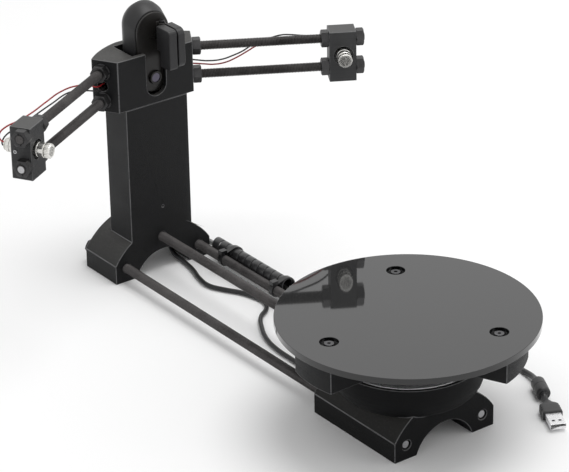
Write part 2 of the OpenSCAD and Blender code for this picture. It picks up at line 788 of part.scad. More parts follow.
module head_block() color("#1b1b1d") place() difference() {
    union() {
        difference() {
            translate([0, 0, head_z]) linear_extrude(head_h) head_outline();
            box([pocket_x[0], column_y + head_front_wall, head_z + head_floor], [pocket_x[1], pocket_back, head_top + 1]);
            for (side = [-1, 1])
                on_arm(side) nut_room();
        }
        box([camera_x - seat_half_w, seat_y[0], head_z + 1], [camera_x + seat_half_w, seat_y[1], camera_z - seat_gap]);
    }
    for (side = [-1, 1])
        on_arm(side) {
            for (z = [arm_z_low, arm_z_high])
                along_x(0, z, nut_room_u[1] - 1, head_end_u + 1, rod_d + 2 * fit_gap);
            along_x(0, wire_z, nut_room_u[1] - 1, head_end_u + 1, wire_hole_d);
        }
    along_y(slot_x, slot_low_z + slot_half_w, column_y - 1, column_y + head_front_wall + 1, 2 * slot_half_w);
    box([slot_x - slot_half_w, column_y - 1, slot_low_z + slot_half_w],
        [slot_x + slot_half_w, column_y + head_front_wall + 1, head_top + 1]);
    for (p = head_screw_at)
        translate([p[0], p[1], head_z - 1]) cylinder(d = m3 + 2 * fit_gap, h = head_floor + 2);
    for (side = [-1, 1])
        translate([side * drop_hole[0], drop_hole[1], head_z - 1]) cylinder(d = drop_hole_d, h = head_floor + 2);
}

module head_screws() color("#9a9da1") place()
    for (p = head_screw_at)
        translate([p[0], p[1], head_z + head_floor]) cap_screw(m3, m3_head_d, 2.4, head_floor + column_plate + 1, 2);

// ---- arms and lasers ----

module arm_rods(side) color("#232427") place() on_arm(side)
    for (z = [arm_z_low, arm_z_high])
        along_x(0, z, rod_inner_u, arm_len, rod_d);
module arm_rods_left() arm_rods(-1);
module arm_rods_right() arm_rods(1);

module nut_x(z, u0) {
    difference() {
        translate([u0, 0, z]) rotate([0, 90, 0]) rotate(30) cylinder(d = nut_af / cos(30), h = nut_h, $fn = 6);
        along_x(0, z, u0 - 1, u0 + nut_h + 1, rod_d + fit_gap);
    }
}

// The washers under the nuts outside the head are part of those flanged nuts
module flange(z, u0) {
    difference() {
        along_x(0, z, u0, u0 + 1, nut_af + 1.6);
        along_x(0, z, u0 - 1, u0 + 2, rod_d + fit_gap);
    }
}

module arm_nuts() color("#1d1e20") place()
    for (side = [-1, 1], z = [arm_z_low, arm_z_high])
        on_arm(side) {
            for (u = nut_seat_u)
                nut_x(z, u);
            flange(z, head_end_u);
        }

module laser_holder(side) color("#1b1b1d") place() on_arm(side) difference() {
    box([laser_u, -laser_front, laser_z], [laser_u + laser_w, laser_back, laser_z + laser_h]);
    for (z = [arm_z_low, arm_z_high])
        along_x(0, z, laser_u - 1, laser_u + laser_w + 1, rod_d + 2 * fit_gap);
    along_y(barrel_u, barrel_z, -laser_front - 1, laser_back + 1, barrel_d + 2 * touch_gap);
    along_y(barrel_u, barrel_z, -laser_front - 1, -laser_front + pocket_depth, 2 * pocket_r);
    along_x(set_screw_v, barrel_z, barrel_u, laser_u + laser_w + 1, m3 + fit_gap);
}
module laser_holder_left() laser_holder(-1);
module laser_holder_right() laser_holder(1);

module laser_barrel(side) color("#c3c6ca") place() on_arm(side) {
    ring_front = -laser_front - barrel_out;
    front = ring_front + focus_len + focus_gap;
    back = laser_back + barrel_back;
    difference() {
        union() {
            along_y(barrel_u, barrel_z, front, back, barrel_d);
            along_y(barrel_u, barrel_z, ring_front + lens_t + touch_gap, front + 1, focus_neck_d);
        }
        along_y(barrel_u, barrel_z, front - focus_len, back - 6, focus_neck_d - 2.4);
        along_y(barrel_u, barrel_z, back - 7, back + 1, 4);
    }
}
module laser_barrel_left() laser_barrel(-1);
module laser_barrel_right() laser_barrel(1);

module laser_focus_ring(side) color("#d4d6d9") place() on_arm(side) {
    front = -laser_front - barrel_out;
    difference() {
        along_y(barrel_u, barrel_z, front, front + focus_len, barrel_d);
        along_y(barrel_u, barrel_z, front + lens_t, front + focus_len + 1, focus_neck_d + fit_gap);
        along_y(barrel_u, barrel_z, front - 1, front + focus_len, 6);
    }
}
module laser_focus_ring_left() laser_focus_ring(-1);
module laser_focus_ring_right() laser_focus_ring(1);

module laser_lens(side) color("#7fa6c8") place() on_arm(side)
    along_y(barrel_u, barrel_z, -laser_front - barrel_out + 0.2, -laser_front - barrel_out + lens_t, 6 - fit_gap);
module laser_lens_left() laser_lens(-1);
module laser_lens_right() laser_lens(1);

module laser_tail(side) color("#e9e8e3") place() on_arm(side) {
    back = laser_back + barrel_back;
    along_y(barrel_u, barrel_z, back - 5, back + eps, 4 - fit_gap);
    difference() {
        along_y(barrel_u, barrel_z, back, back + tail_len - 1.1, barrel_d - 2.4);
        along_y(barrel_u, barrel_z, back + 1, back + tail_len + 1, barrel_d - 5);
    }
}
module laser_tail_left() laser_tail(-1);
module laser_tail_right() laser_tail(1);

module laser_set_screws() color("#8d9094") place()
    for (side = [-1, 1])
        on_arm(side) difference() {
            start = barrel_u + barrel_d / 2 + touch_gap;
            along_x(set_screw_v, barrel_z, start, start + set_screw_len, m3);
            translate([start + set_screw_len - 2, set_screw_v, barrel_z]) rotate([0, 90, 0])
                cylinder(d = 1.5 / cos(30), h = 3, $fn = 6);
        }

module red_leads() color("#b3261e") place() {
    tube(arm_route(-1, left_red), laser_lead_d);
    tube(arm_route(1, right_red), laser_lead_d);
}

module black_leads() color("#161616") place() {
    tube(arm_route(-1, left_black), laser_lead_d);
    tube(arm_route(1, right_black), laser_lead_d);
}

// ---- camera ----

camera_r = camera_w / 2;
camera_back = camera_y + camera_depth;
front_r = camera_r - 2.5;
front_high = camera_z + camera_h - camera_r - 3.5;
front_t = 2.4;
shell_front = camera_y + front_t;

// An upright pill from y0 to y1, with round ends of radius r centred at z0 and z1
module pill(r, z0, z1, y0, y1) {
    along_y(camera_x, z0, y0, y1, 2 * r);
    along_y(camera_x, z1, y0, y1, 2 * r);
    box([camera_x - r, y0, z0], [camera_x + r, y1, z1]);
}

module camera_shell() color("#202022") place() difference() {
    low = camera_z + camera_r;
    high = camera_z + camera_h - camera_r;
    hull($fn = 48) {
        pill(front_r + 0.8, low, front_high, shell_front, shell_front + 0.4);
        pill(camera_r - 0.6, low, high, shell_front + 7, shell_front + 7.4);
        pill(camera_r, low, high, shell_front + 12, shell_front + 14);
        pill(camera_r - 2, low + 1, high - 1, shell_front + 18.5, shell_front + 19);
        pill(camera_r - 7, low + 3, high - 3, camera_back - 0.4, camera_back);
    }
    pill(front_r - 2.5, low, front_high, shell_front - 1, camera_back - 6);
}

module camera_front() color("#161617") place() {
    low = camera_z + camera_r;
    difference() {
        pill(front_r, low, front_high, camera_y, shell_front);
        along_y(camera_x, lens_z, camera_y - 1, shell_front + 1, 11 + 2 * fit_gap);
    }
    for (z = lug_z)
        difference() {
            union() {
                translate([clip_pin_x, clip_pin_y, z]) cylinder(d = knuckle_d, h = lug_h);
                box([clip_pin_x - knuckle_d / 2, clip_pin_y, z], [clip_pin_x + knuckle_d / 2, camera_y + 1, z + lug_h]);
            }
            translate([clip_pin_x, clip_pin_y, z - 1]) cylinder(d = clip_pin_d + fit_gap, h = lug_h + 2);
        }
}

module camera_lens_barrel() color("#121212") place() difference() {
    union() {
        along_y(camera_x, lens_z, camera_y - 2.4, shell_front + 6, 11);
        along_y(camera_x, lens_z, shell_front + 4, shell_front + 6, 14);
    }
    along_y(camera_x, lens_z, camera_y - 4, shell_front + 3, 8);
}

module camera_lens() color("#31506b") place()
    along_y(camera_x, lens_z, camera_y - 1.6, camera_y + 1.4, 8 - fit_gap);

module camera_board() color("#1f5a34") place() {
    low = camera_z + camera_r;
    y0 = shell_front + 6;
    difference() {
        pill(front_r - 3, low, front_high, y0, y0 + 1.2);
        along_y(camera_x - 8, 205, y0 - 1, y0 + 3, 3);
    }
    box([camera_x - 5, y0 + 1.2, 186], [camera_x + 5, y0 + 3, 196]);
}

// One clip plate, seen from the side, that hooks over the head's front wall; round is its front corners' radius
module clip_plate(x0, x1, round) {
    rotate([90, 0, 90]) translate([0, 0, x0]) linear_extrude(x1 - x0) union() {
        translate([320, clip_mid_z]) square([4.5, clip_high_z - clip_mid_z]);
        translate([306 + round, clip_low_z]) square([14 - round, clip_high_z - clip_low_z]);
        translate([306, clip_low_z + round]) square([14, clip_high_z - clip_low_z - 2 * round]);
        for (z = [clip_low_z + round, clip_high_z - round])
            translate([306 + round, z]) circle(r = round);
    }
}

module clip_leaf(x0, x1, round, z0, z1) {
    difference() {
        union() {
            clip_plate(x0, x1, round);
            translate([clip_pin_x, clip_pin_y, z0]) cylinder(d = knuckle_d, h = z1 - z0);
            side = x0 < clip_pin_x ? x1 - 4 : x0;
            box([side, 322, z0], [side + 4, clip_pin_y, z1]);
        }
        translate([clip_pin_x, clip_pin_y, z0 - 1]) cylinder(d = clip_pin_d + 2 * clip_gap, h = z1 - z0 + 2);
    }
}

module clip_left() color("#202022") place()
    clip_leaf(clip_left_x[0], clip_left_x[1], 3, knuckle_left_z[0], knuckle_left_z[1]);
module clip_right() color("#202022") place()
    clip_leaf(clip_right_x[0], clip_right_x[1], 6, knuckle_right_z[0], knuckle_right_z[1]);

module clip_pin() color("#2a2a2c") place() {
    translate([clip_pin_x, clip_pin_y, lug_z[0]]) cylinder(d = clip_pin_d, h = lug_z[1] + lug_h - lug_z[0]);
    translate([clip_pin_x, clip_pin_y, lug_z[1] + lug_h]) cylinder(d = 5, h = 1.6);
}

// ---- electronics ----

board_front = board_y + board_t;
driver_back = board_front + header_h + board_t;

module controller_board() color("#14506e") place() {
    difference() {
        box([-board_w / 2, board_y, board_z], [board_w / 2, board_front, board_z + board_h]);
        at_board_holes() translate([0, 0, -3]) cylinder(d = m3 + 2 * fit_gap, h = 6);
    }
    for (x = [-1, 1])
        box([x * (drop_hole[0] - 1) - 3, board_front, terminal_z[0]],
            [x * (drop_hole[0] - 1) + 3, board_front + terminal_d, terminal_z[1]]);
    for (x = [driver_x[0], driver_x[1] - header_w])
        box([x, board_front, driver_z[0]], [x + header_w, board_front + header_h, driver_z[1]]);
    box([17.5, board_front, 84], [23.5, board_front + 7.6, 92]);
    box([-4, board_front, 106], [8, board_front + 1.6, 118]);
    box([-23.5, board_front, 87.5], [-14.5, board_front + 11, 99.5]);
    difference() {
        box([button_x - 3, board_front, button_z - 3], [button_x + 3, board_front + 3.5, button_z + 3]);
        along_y(button_x, button_z, board_front + 1, board_front + 5, button_d + 2 * fit_gap);
    }
}

module driver_board() color("#7a1f2b") place()
    box([driver_x[0], board_front + header_h, driver_z[0]], [driver_x[1], driver_back, driver_z[1]]);

module heat_sink() color("#a9adb2") place() {
    y0 = driver_back;
    box([-15, y0, 105], [-6, y0 + 1.4, 114]);
    for (k = [0:4])
        box([-15 + k * 2, y0, 105], [-14 + k * 2, y0 + 5, 114]);
}

module usb_socket() color("#b5b8bc") place() difference() {
    z0 = board_z - 3;
    box([socket_mid_x - socket_w / 2, board_front, z0], [socket_mid_x + socket_w / 2, board_front + socket_d, z0 + 7]);
    box([socket_mid_x - socket_w / 2 + 1, board_front + 1, z0 - 1],
        [socket_mid_x + socket_w / 2 - 1, board_front + socket_d - 1, z0 + 6]);
}

module reset_button() color("#c7c4bb") place()
    along_y(button_x, button_z, board_front + 1 + button_travel + 0.1, board_front + 4.6, button_d);

module board_screws() color("#9a9da1") place()
    at_board_holes() translate([0, 0, -board_t]) mirror([0, 0, 1]) cap_screw(m3, m3_head_d, 2, 6, 2);

// ---- cables ----

module usb_board_plug() color("#1a1a1b") place() {
    top = board_z - 3;
    y0 = board_front + 1.2;
    y1 = board_front + socket_d - 1.2;
    box([socket_mid_x - 4.8, y0, top - 10], [socket_mid_x + 4.8, y1, top + 5]);
    box([socket_mid_x - 5.8, y0 - 1, top - board_plug_len], [socket_mid_x + 5.8, y1 + 1, top - 0.5]);
    translate(usb_exit) cylinder(d = 6.6, h = top - board_plug_len - usb_exit[2] + eps);
}

// The lead lies on the bottom of the wrap
usb_middle = [for (y = [wrap_y[0] - 2, wrap_y[0] - 34, (wrap_y[0] + wrap_y[1]) / 2, wrap_y[1] + 34, wrap_y[1] + 2])
    [wrap_at[0], y, wrap_at[1] - lead_drop]];
usb_route = concat(usb_start, usb_middle, usb_end);

module usb_lead() color("#1b1b1c") place() tube(usb_route, usb_d);

// The wrap's band is one flat strip that winds round the lead
wrap_pitch = (wrap_y[0] - wrap_y[1]) / wrap_turns;
wrap_mid_r = wrap_r - wrap_t / 2;
wrap_route = [
    for (k = [0:24 * wrap_turns])
        let(a = 360 * k / 24)
        [wrap_at[0] + wrap_mid_r * cos(a), wrap_y[0] - wrap_pitch * k / 24, wrap_at[1] + wrap_mid_r * sin(a)]
];
wrap_gap = wrap_pitch - wrap_band - 0.2;

module cable_wrap() color("#2b2b2d") place() {
    half = wrap_band / 2;
    section = [
        [-wrap_t / 2, half], [0, half + 0.1], [wrap_t / 2, half],
        [wrap_t / 2, -half], [0, -half - 0.1], [-wrap_t / 2, -half]
    ];
    skin([
        for (k = [0:len(wrap_route) - 1])
            let(a = 360 * k / 24)
            for (s = section) wrap_route[k] + [s[0] * cos(a), s[1], s[0] * sin(a)]
    ], len(section));
    echo("least gap between the wrap's turns, in mm", wrap_gap);
}

module motor_lead() color("#1b1b1c") place() tube(motor_route, motor_lead_d);

// A band round the right rod and the wrap
module tie_outline(extra) {
    hull() {
        translate([rod_x, rod_z]) circle(d = rod_d + 0.6 + 2 * extra, $fn = fine);
        translate([wrap_at[0], wrap_at[1]]) circle(r = wrap_r + 0.3 + extra, $fn = fine);
    }
}

module cable_ties() color("#141415") place()
    for (y = tie_y)
        translate([0, y + tie_w / 2, 0]) {
            rotate([90, 0, 0]) linear_extrude(tie_w) difference() {
                tie_outline(tie_t);
                tie_outline(0);
            }
            translate([rod_x - 4.2, -tie_w / 2 - 2.5, rod_z + rod_d / 2 + 1.4]) cube([6, 5, 3.4]);
        }

module ferrite_bead() color("#222224") place()
    translate(ferrite_at) rotate(-plug_turn) rotate([90, 0, 0]) translate([0, 0, -ferrite_len / 2])
        difference() {
            hull() {
                cylinder(d = ferrite_d - 3, h = ferrite_len, $fn = fine);
                translate([0, 0, 2]) cylinder(d = ferrite_d, h = ferrite_len - 4, $fn = fine);
            }
            translate([0, 0, -1]) cylinder(d = usb_d + 0.2, h = ferrite_len + 2);
        }

module usb_plug_body() color("#1a1a1b") place()
    translate(plug_at) rotate(-plug_turn) hull() {
        translate([-plug_w / 2, 0, -plug_h / 2]) cube([plug_w, plug_len - 6, plug_h]);
        translate([-3, plug_len - 0.5, -2.6]) cube([6, 0.5, 5.2]);
    }

module usb_plug_shell() color("#c9ccd0") place()
    translate(plug_at) rotate(-plug_turn) difference() {
        translate([-shell_w / 2, -shell_len, -shell_h / 2]) cube([shell_w, shell_len, shell_h]);
        translate([-shell_w / 2 + 0.4, -shell_len - 1, -shell_h / 2 + 2.3]) cube([shell_w - 0.8, shell_len - 1, shell_h - 2.7]);
        for (x = [-3.6, 1.4])
            translate([x, -shell_len + 5, shell_h / 2 - 1]) cube([2.2, 2.4, 2]);
    }

echo("length of the lead with the plug, in mm", route_length(usb_route));
echo("length of the motor's lead, in mm", route_length(motor_route));

front_foot();
bearing_outer_ring();
bearing_inner_ring();
bearing_balls();
bearing_cage();
motor_front_cap();
motor_stator();
motor_rear_cap();
motor_rotor();
motor_screws();
motor_socket();
turntable_disc();
disc_holder();
disc_screws();
rod_left();
rod_right();
rod_middle();
base_nuts();
base_washers();
column();
head_block();
head_screws();
arm_rods_left();
arm_rods_right();
arm_nuts();
laser_holder_left();
laser_holder_right();
laser_barrel_left();
laser_barrel_right();
laser_focus_ring_left();
laser_focus_ring_right();
laser_lens_left();
laser_lens_right();
laser_tail_left();
laser_tail_right();
laser_set_screws();
red_leads();
black_leads();
camera_shell();
camera_front();
camera_lens_barrel();
camera_lens();
camera_board();
clip_left();
clip_right();
clip_pin();
controller_board();
driver_board();
heat_sink();
usb_socket();
reset_button();
board_screws();
cable_ties();
cable_wrap();
motor_lead();
usb_lead();
usb_board_plug();
ferrite_bead();
usb_plug_body();
usb_plug_shell();
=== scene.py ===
# %% [markdown]
# # A desktop 3D scanner, dressed from its CAD frame
# The machine is an open frame: a turntable on a printed foot at the front, a printed column at the back, threaded
# rods between them, and two line lasers on threaded arms. The CAD model already says where every part is and how it
# moves. This script only gives those parts their real surfaces: threads, nuts, edges with a painted highlight, leads
# and plastic.
# It starts by loading that frame, which is never moved or changed.

# %% Load the frame
import bpy, bmesh, math
from mathutils import Matrix, Vector


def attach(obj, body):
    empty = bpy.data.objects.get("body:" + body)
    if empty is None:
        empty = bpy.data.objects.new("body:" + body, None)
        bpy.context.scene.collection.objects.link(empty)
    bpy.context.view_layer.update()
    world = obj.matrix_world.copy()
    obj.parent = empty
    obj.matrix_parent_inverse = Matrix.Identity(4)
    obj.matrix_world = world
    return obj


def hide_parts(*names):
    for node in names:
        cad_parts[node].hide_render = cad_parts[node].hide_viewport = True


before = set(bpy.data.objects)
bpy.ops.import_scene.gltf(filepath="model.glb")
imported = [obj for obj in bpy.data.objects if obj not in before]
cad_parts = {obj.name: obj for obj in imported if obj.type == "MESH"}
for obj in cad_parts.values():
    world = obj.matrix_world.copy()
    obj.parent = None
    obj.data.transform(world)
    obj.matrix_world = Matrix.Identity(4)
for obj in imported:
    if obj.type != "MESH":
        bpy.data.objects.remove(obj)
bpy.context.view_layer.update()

# %% [markdown]
# ## Millimetres from the turntable's axis
# The drawing counts in millimetres from the turntable's axis, and the frame counts in metres from the middle of the
# footprint. One small function turns the first into the second, so every number below is the drawing's own.

# %% Units
MM = 0.001
MIDDLE_Y = 141.5


def at(x, y, z):
    """A point of the drawing, in millimetres, as a place in the frame, in metres."""
    return Vector((x * MM, (y - MIDDLE_Y) * MM, z * MM))


DRAWING_TO_FRAME = Matrix.Translation((0, -MIDDLE_Y * MM, 0)) @ Matrix.Scale(MM, 4)
print("the turntable's axis lies at", at(0, 0, 0))

# %% [markdown]
# ## Camera
# The photograph was taken from the front left with a long lens, a little above the machine. The place, the turn and
# the focal length were worked out from the disc's ellipse, the feet and the rods, and are set here as numbers. A
# camera looks along its own -Z, so its matrix holds the picture's right, the picture's up and the way back. The plain
# Standard view keeps colours as they are written.

# %% Camera
CAMERA_PLACE = (-1.1743, -1.5982, 1.0731)
LENS_MM = 179.72
yaw, pitch, roll = math.radians(-36.10), math.radians(26.09), math.radians(-1.13)
back = Vector((math.sin(yaw) * math.cos(pitch), -math.cos(yaw) * math.cos(pitch), math.sin(pitch)))
level_right = (-back).cross(Vector((0, 0, 1))).normalized()
level_up = level_right.cross(-back)
right = level_right * math.cos(roll) + level_up * math.sin(roll)
up = level_up * math.cos(roll) - level_right * math.sin(roll)
camera_data = bpy.data.cameras.new("camera")
camera_data.sensor_fit = "HORIZONTAL"
camera_data.sensor_width = 36
camera_data.lens = LENS_MM
camera_data.clip_start, camera_data.clip_end = 0.05, 60
camera = bpy.data.objects.new("camera", camera_data)
bpy.context.scene.collection.objects.link(camera)
camera.matrix_world = Matrix.Translation(CAMERA_PLACE) @ Matrix((right, up, back)).transposed().to_4x4()
bpy.context.scene.camera = camera
bpy.context.scene.view_settings.view_transform = "Standard"
print("camera at", tuple(camera.location), "lens", camera_data.lens)

# %% [markdown]
# ## Pieces and materials: small helpers
# Every new piece is drawn in millimetres in a bmesh. One helper carries it into the frame, turns its faces outwards,
# marks its sharp edges, lets it ride on its body and hides the CAD nodes it stands for. Materials get their nodes
# from a second set of helpers, because each of them starts with the same shader and the same object coordinates.


# %% Helpers for pieces
def show(obj, body, stands_for=()):
    """Puts an object in the scene, on its body, in place of the CAD nodes it stands for."""
    if obj.name not in bpy.context.scene.collection.objects:
        bpy.context.scene.collection.objects.link(obj)
    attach(obj, body)
    if stands_for:
        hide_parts(*stands_for)
    return obj


def smooth(mesh, sharp):
    """Shades a mesh smoothly, and keeps the edges that are sharper than an angle in degrees."""
    mesh.polygons.foreach_set("use_smooth", [True] * len(mesh.polygons))
    mesh.set_sharp_from_angle(angle=math.radians(sharp))


def carry(bm, matrix):
    """Moves and turns all that a bmesh holds."""
    bmesh.ops.transform(bm, matrix=matrix, verts=bm.verts)


def merge(bm, part):
    """Adds a part that was drawn by itself to a piece's bmesh."""
    kept = bpy.data.meshes.new("part")
    part.to_mesh(kept)
    part.free()
    bm.from_mesh(kept)
    bpy.data.meshes.remove(kept)


def finish_piece(bm, name, materials, stands_for=(), body="root", sharp=35, doubles=1e-4):
    """Turns a bmesh drawn in millimetres into a piece, with its materials, on its body, in place of the CAD nodes it
    stands for.
    """
    if doubles:
        bmesh.ops.remove_doubles(bm, verts=bm.verts, dist=doubles)
    bmesh.ops.recalc_face_normals(bm, faces=bm.faces)
    carry(bm, DRAWING_TO_FRAME)
    mesh = bpy.data.meshes.new(name)
    bm.to_mesh(mesh)
    bm.free()
    for material in materials:
        mesh.materials.append(material)
    smooth(mesh, sharp)
    obj = show(bpy.data.objects.new(name, mesh), body, stands_for)
    print(name, "has", len(mesh.polygons), "faces")
    return obj


# %% Helpers for node trees
def start_material(name):
    """A new material with an empty Principled shader; gives the material, its tree and the shader."""
    material = bpy.data.materials.new(name)
    material.use_nodes = True
    tree = material.node_tree
    return material, tree, tree.nodes["Principled BSDF"]


def node(tree, kind, inputs=(), **settings):
    """Adds one node, sets its fields, and sets or links its inputs."""
    made = tree.nodes.new(kind)
    for key, value in settings.items():
        setattr(made, key, value)
    for key, value in dict(inputs).items():
        if isinstance(value, bpy.types.NodeSocket):
            tree.links.new(value, made.inputs[key])
        else:
            made.inputs[key].default_value = value
    return made


def object_place(tree):
    """The object's own coordinates, which stay put when a part turns."""
    return node(tree, "ShaderNodeTexCoord").outputs["Object"]


def noise(tree, place, scale, detail, roughness=0.5):
    """A noise over a place."""
    return node(tree, "ShaderNodeTexNoise", {
        "Vector": place, "Scale": scale, "Detail": detail, "Roughness": roughness}).outputs["Fac"]


def sums(tree, operation, a, b=0.0, c=0.0):
    """One Math node's result."""
    return node(tree, "ShaderNodeMath", {0: a, 1: b, 2: c}, operation=operation).outputs[0]


def start_group(name, inputs, outputs):
    """A shader node group with named inputs (with their first values) and outputs."""
    tree = bpy.data.node_groups.new(name, "ShaderNodeTree")
    for label, value in inputs.items():
        socket = tree.interface.new_socket(name=label, in_out="INPUT", socket_type="NodeSocketFloat")
        socket.default_value = value
    for label, kind in outputs.items():
        tree.interface.new_socket(name=label, in_out="OUTPUT", socket_type=kind)
    return tree, tree.nodes.new("NodeGroupInput"), tree.nodes.new("NodeGroupOutput")


def ramp(tree, factor, stops):
    """A colour ramp's colour, from places to grey values or colours."""
    made = node(tree, "ShaderNodeValToRGB", {"Fac": factor})
    elements = made.color_ramp.elements
    while len(elements) < len(stops):
        elements.new(0.5)
    for element, (place, value) in zip(elements, stops):
        element.position = place
        element.color = (value, value, value, 1) if isinstance(value, (int, float)) else (*value, 1)
    return made.outputs["Color"]


print("helpers ready")

# %% [markdown]
# ## Finish: grain that several surfaces share
# Nearly everything on this machine has a very fine unevenness: moulded plastic is slightly matt, steel has a grain,
# and dust settles on all of it. One group gives a fine height and a broad, soft tone, both from noise on the
# object's own coordinates, so that they stay put when a part turns.

# %% Group: fine grain
grain_tree, grain_in, grain_out = start_group(
    "fine_grain", {"Grain Size": 0.4, "Patch Size": 25.0},
    {"Height": "NodeSocketFloat", "Patches": "NodeSocketFloat"})
grain_place = object_place(grain_tree)
grain_scale = sums(grain_tree, "DIVIDE", 1000.0, grain_in.outputs["Grain Size"])
patch_scale = sums(grain_tree, "DIVIDE", 1000.0, grain_in.outputs["Patch Size"])
grain_tree.links.new(noise(grain_tree, grain_place, grain_scale, 3.0), grain_out.inputs["Height"])
grain_tree.links.new(noise(grain_tree, grain_place, patch_scale, 4.0), grain_out.inputs["Patches"])
print("group", grain_tree.name)

# %% [markdown]
# ## Finish: layers of a printed part
# The feet, the column, the head and the laser holders were printed in black plastic, so their walls are stacks of
# threads a third of a millimetre high. No two layers are quite alike: some stand out a little and shine more. A
# sine along the height gives the threads, and noise squeezed flat along the height gives the uneven layers.

# %% Group: printed layers
layers_tree, layers_in, layers_out = start_group(
    "printed_layers", {"Layer Height": 0.32, "Unevenness": 1.0},
    {"Height": "NodeSocketFloat", "Streaks": "NodeSocketFloat"})
layers_place = object_place(layers_tree)
wobble = noise(layers_tree, layers_place, 60.0, 1.0)
level = node(layers_tree, "ShaderNodeSeparateXYZ", {"Vector": layers_place}).outputs["Z"]
level = sums(layers_tree, "MULTIPLY_ADD", wobble, 0.00012, level)
turns = sums(layers_tree, "MULTIPLY", level,
             sums(layers_tree, "DIVIDE", 2000.0 * math.pi, layers_in.outputs["Layer Height"]))
threads = sums(layers_tree, "MULTIPLY_ADD", sums(layers_tree, "SINE", turns), 0.5, 0.5)
flat_place = node(layers_tree, "ShaderNodeMapping", {"Vector": layers_place, "Scale": (6.0, 6.0, 900.0)})
streaks = noise(layers_tree, flat_place.outputs[0], 1.0, 3.0, 0.6)
height = sums(layers_tree, "MULTIPLY_ADD",
              sums(layers_tree, "MULTIPLY", streaks, layers_in.outputs["Unevenness"]), 1.6, threads)
layers_tree.links.new(height, layers_out.inputs["Height"])
layers_tree.links.new(streaks, layers_out.inputs["Streaks"])
print("group", layers_tree.name)

# %% [markdown]
# ## Finish: dust on what faces up
# A black machine shows dust first. It lies only where a surface faces up, as a thin film with specks in it, so the
# group mixes the height of the surface's normal with noise. The normal is the geometry's own, and has nothing to do
# with where the camera stands.

# %% Group: settled dust
dust_tree, dust_in, dust_out = start_group("settled_dust", {"Amount": 0.1}, {"Mask": "NodeSocketFloat"})
facing = node(dust_tree, "ShaderNodeSeparateXYZ",
              {"Vector": node(dust_tree, "ShaderNodeNewGeometry").outputs["Normal"]}).outputs["Z"]
specks = noise(dust_tree, object_place(dust_tree), 900.0, 5.0, 0.7)
speck_mask = node(dust_tree, "ShaderNodeMapRange",
                  {"Value": specks, "From Min": 0.52, "From Max": 0.8}).outputs["Result"]
up_mask = node(dust_tree, "ShaderNodeMapRange", {"Value": facing, "From Min": 0.3, "From Max": 1.0}).outputs["Result"]
film = sums(dust_tree, "MULTIPLY_ADD", speck_mask, 0.6, 0.4)
dust = sums(dust_tree, "MULTIPLY", sums(dust_tree, "MULTIPLY", film, up_mask), dust_in.outputs["Amount"])
dust_tree.links.new(dust, dust_out.inputs["Mask"])
print("group", dust_tree.name)

# %% [markdown]
# ## What all surfaces have in common
# Every surface below is made the same way: a mask that changes over the surface picks its colour and its roughness,
# dust lies over the colour, and a height gives the bump. One helper links all of it, so that each material only
# says where its mask and its height come from.


# %% Helpers that dress a shader
def blend(tree, mask, a, b):
    """A colour between a and b, where a comes from a node."""
    made = node(tree, "ShaderNodeMix", {"Factor": mask}, data_type="RGBA")
    tree.links.new(a, made.inputs[6])
    made.inputs[7].default_value = (*b, 1)
    return made.outputs[2]


def dress(tree, shader, mask, colours, roughness, bump, dust=None, rough_mask=None):
    """Links colour, roughness and bump; bump is height, strength and depth, dust is its amount and colour."""
    tint = ramp(tree, mask, colours)
    if dust:
        amount, dust_colour = dust
        film = node(tree, "ShaderNodeGroup", {"Amount": amount}, node_tree=dust_tree)
        tint = blend(tree, film.outputs["Mask"], tint, dust_colour)
    tree.links.new(tint, shader.inputs["Base Color"])
    tree.links.new(ramp(tree, rough_mask or mask, roughness), shader.inputs["Roughness"])
    bumped = node(tree, "ShaderNodeBump", zip(("Height", "Strength", "Distance"), bump))
    tree.links.new(bumped.outputs["Normal"], shader.inputs["Normal"])


print("a helper for every surface")

# %% [markdown]
# ## Black printed plastic, with painted highlights on its edges
# The plastic is a deep black with a low, broad shine. Where two faces meet, the edge is rounded, and the narrow
# bevels of each part get their own lighter, glossier material: a painted highlight along every edge, partly real
# wear.
# The front foot gets a darker copy of the plastic as painted shade, and the laser holders a paler copy as painted
# light.


# %% Materials: printed plastic
def printed(name, dark, pale, rough, shine, dust_amount):
    """Printed plastic: streaked colour, streaked roughness, layered bump."""
    material, tree, shader = start_material(name)
    layered = node(tree, "ShaderNodeGroup", {}, node_tree=layers_tree)
    grainy = node(tree, "ShaderNodeGroup", {}, node_tree=grain_tree)
    mottle = sums(tree, "MULTIPLY_ADD", grainy.outputs["Patches"], 0.5,
                  sums(tree, "MULTIPLY", layered.outputs["Streaks"], 0.5))
    height = sums(tree, "MULTIPLY_ADD", grainy.outputs["Height"], 0.5, layered.outputs["Height"])
    dress(tree, shader, mottle, [(0.3, dark), (0.7, pale)], [(0.3, rough - 0.09), (0.72, rough + 0.1)],
          (height, 0.55, 0.00012), dust=(dust_amount, (0.2, 0.195, 0.185)))
    shader.inputs["Specular IOR Level"].default_value = shine
    return material


printed_black = printed("printed_black", (0.0025, 0.0026, 0.003), (0.0078, 0.008, 0.0087), 0.50, shine=0.19,
                        dust_amount=0.62)
# The edge material is paler and glossier than the plastic: a painted highlight along the edges, partly real wear.
printed_edge_highlight = printed("printed_edge_highlight", (0.03, 0.0305, 0.032), (0.11, 0.111, 0.115), 0.3, shine=0.6,
                       dust_amount=0.5)
# A darker, duller copy of the same plastic for the front foot: painted shade.
printed_foot_shaded = printed("printed_foot_shaded", (0.002, 0.0021, 0.0024), (0.0055, 0.0056, 0.0061), 0.52, shine=0.11,
                       dust_amount=0.5)
# A paler, shinier copy of the same plastic for the laser holders: painted light.
printed_lit = printed("printed_lit", (0.017, 0.0172, 0.018), (0.04, 0.0405, 0.042), 0.46, shine=0.34,
                       dust_amount=0.42)
print("materials", printed_black.name, printed_edge_highlight.name, printed_foot_shaded.name, printed_lit.name)


# %% Materials: moulded plastic and rubber
PALE_DUST = (0.25, 0.24, 0.23)


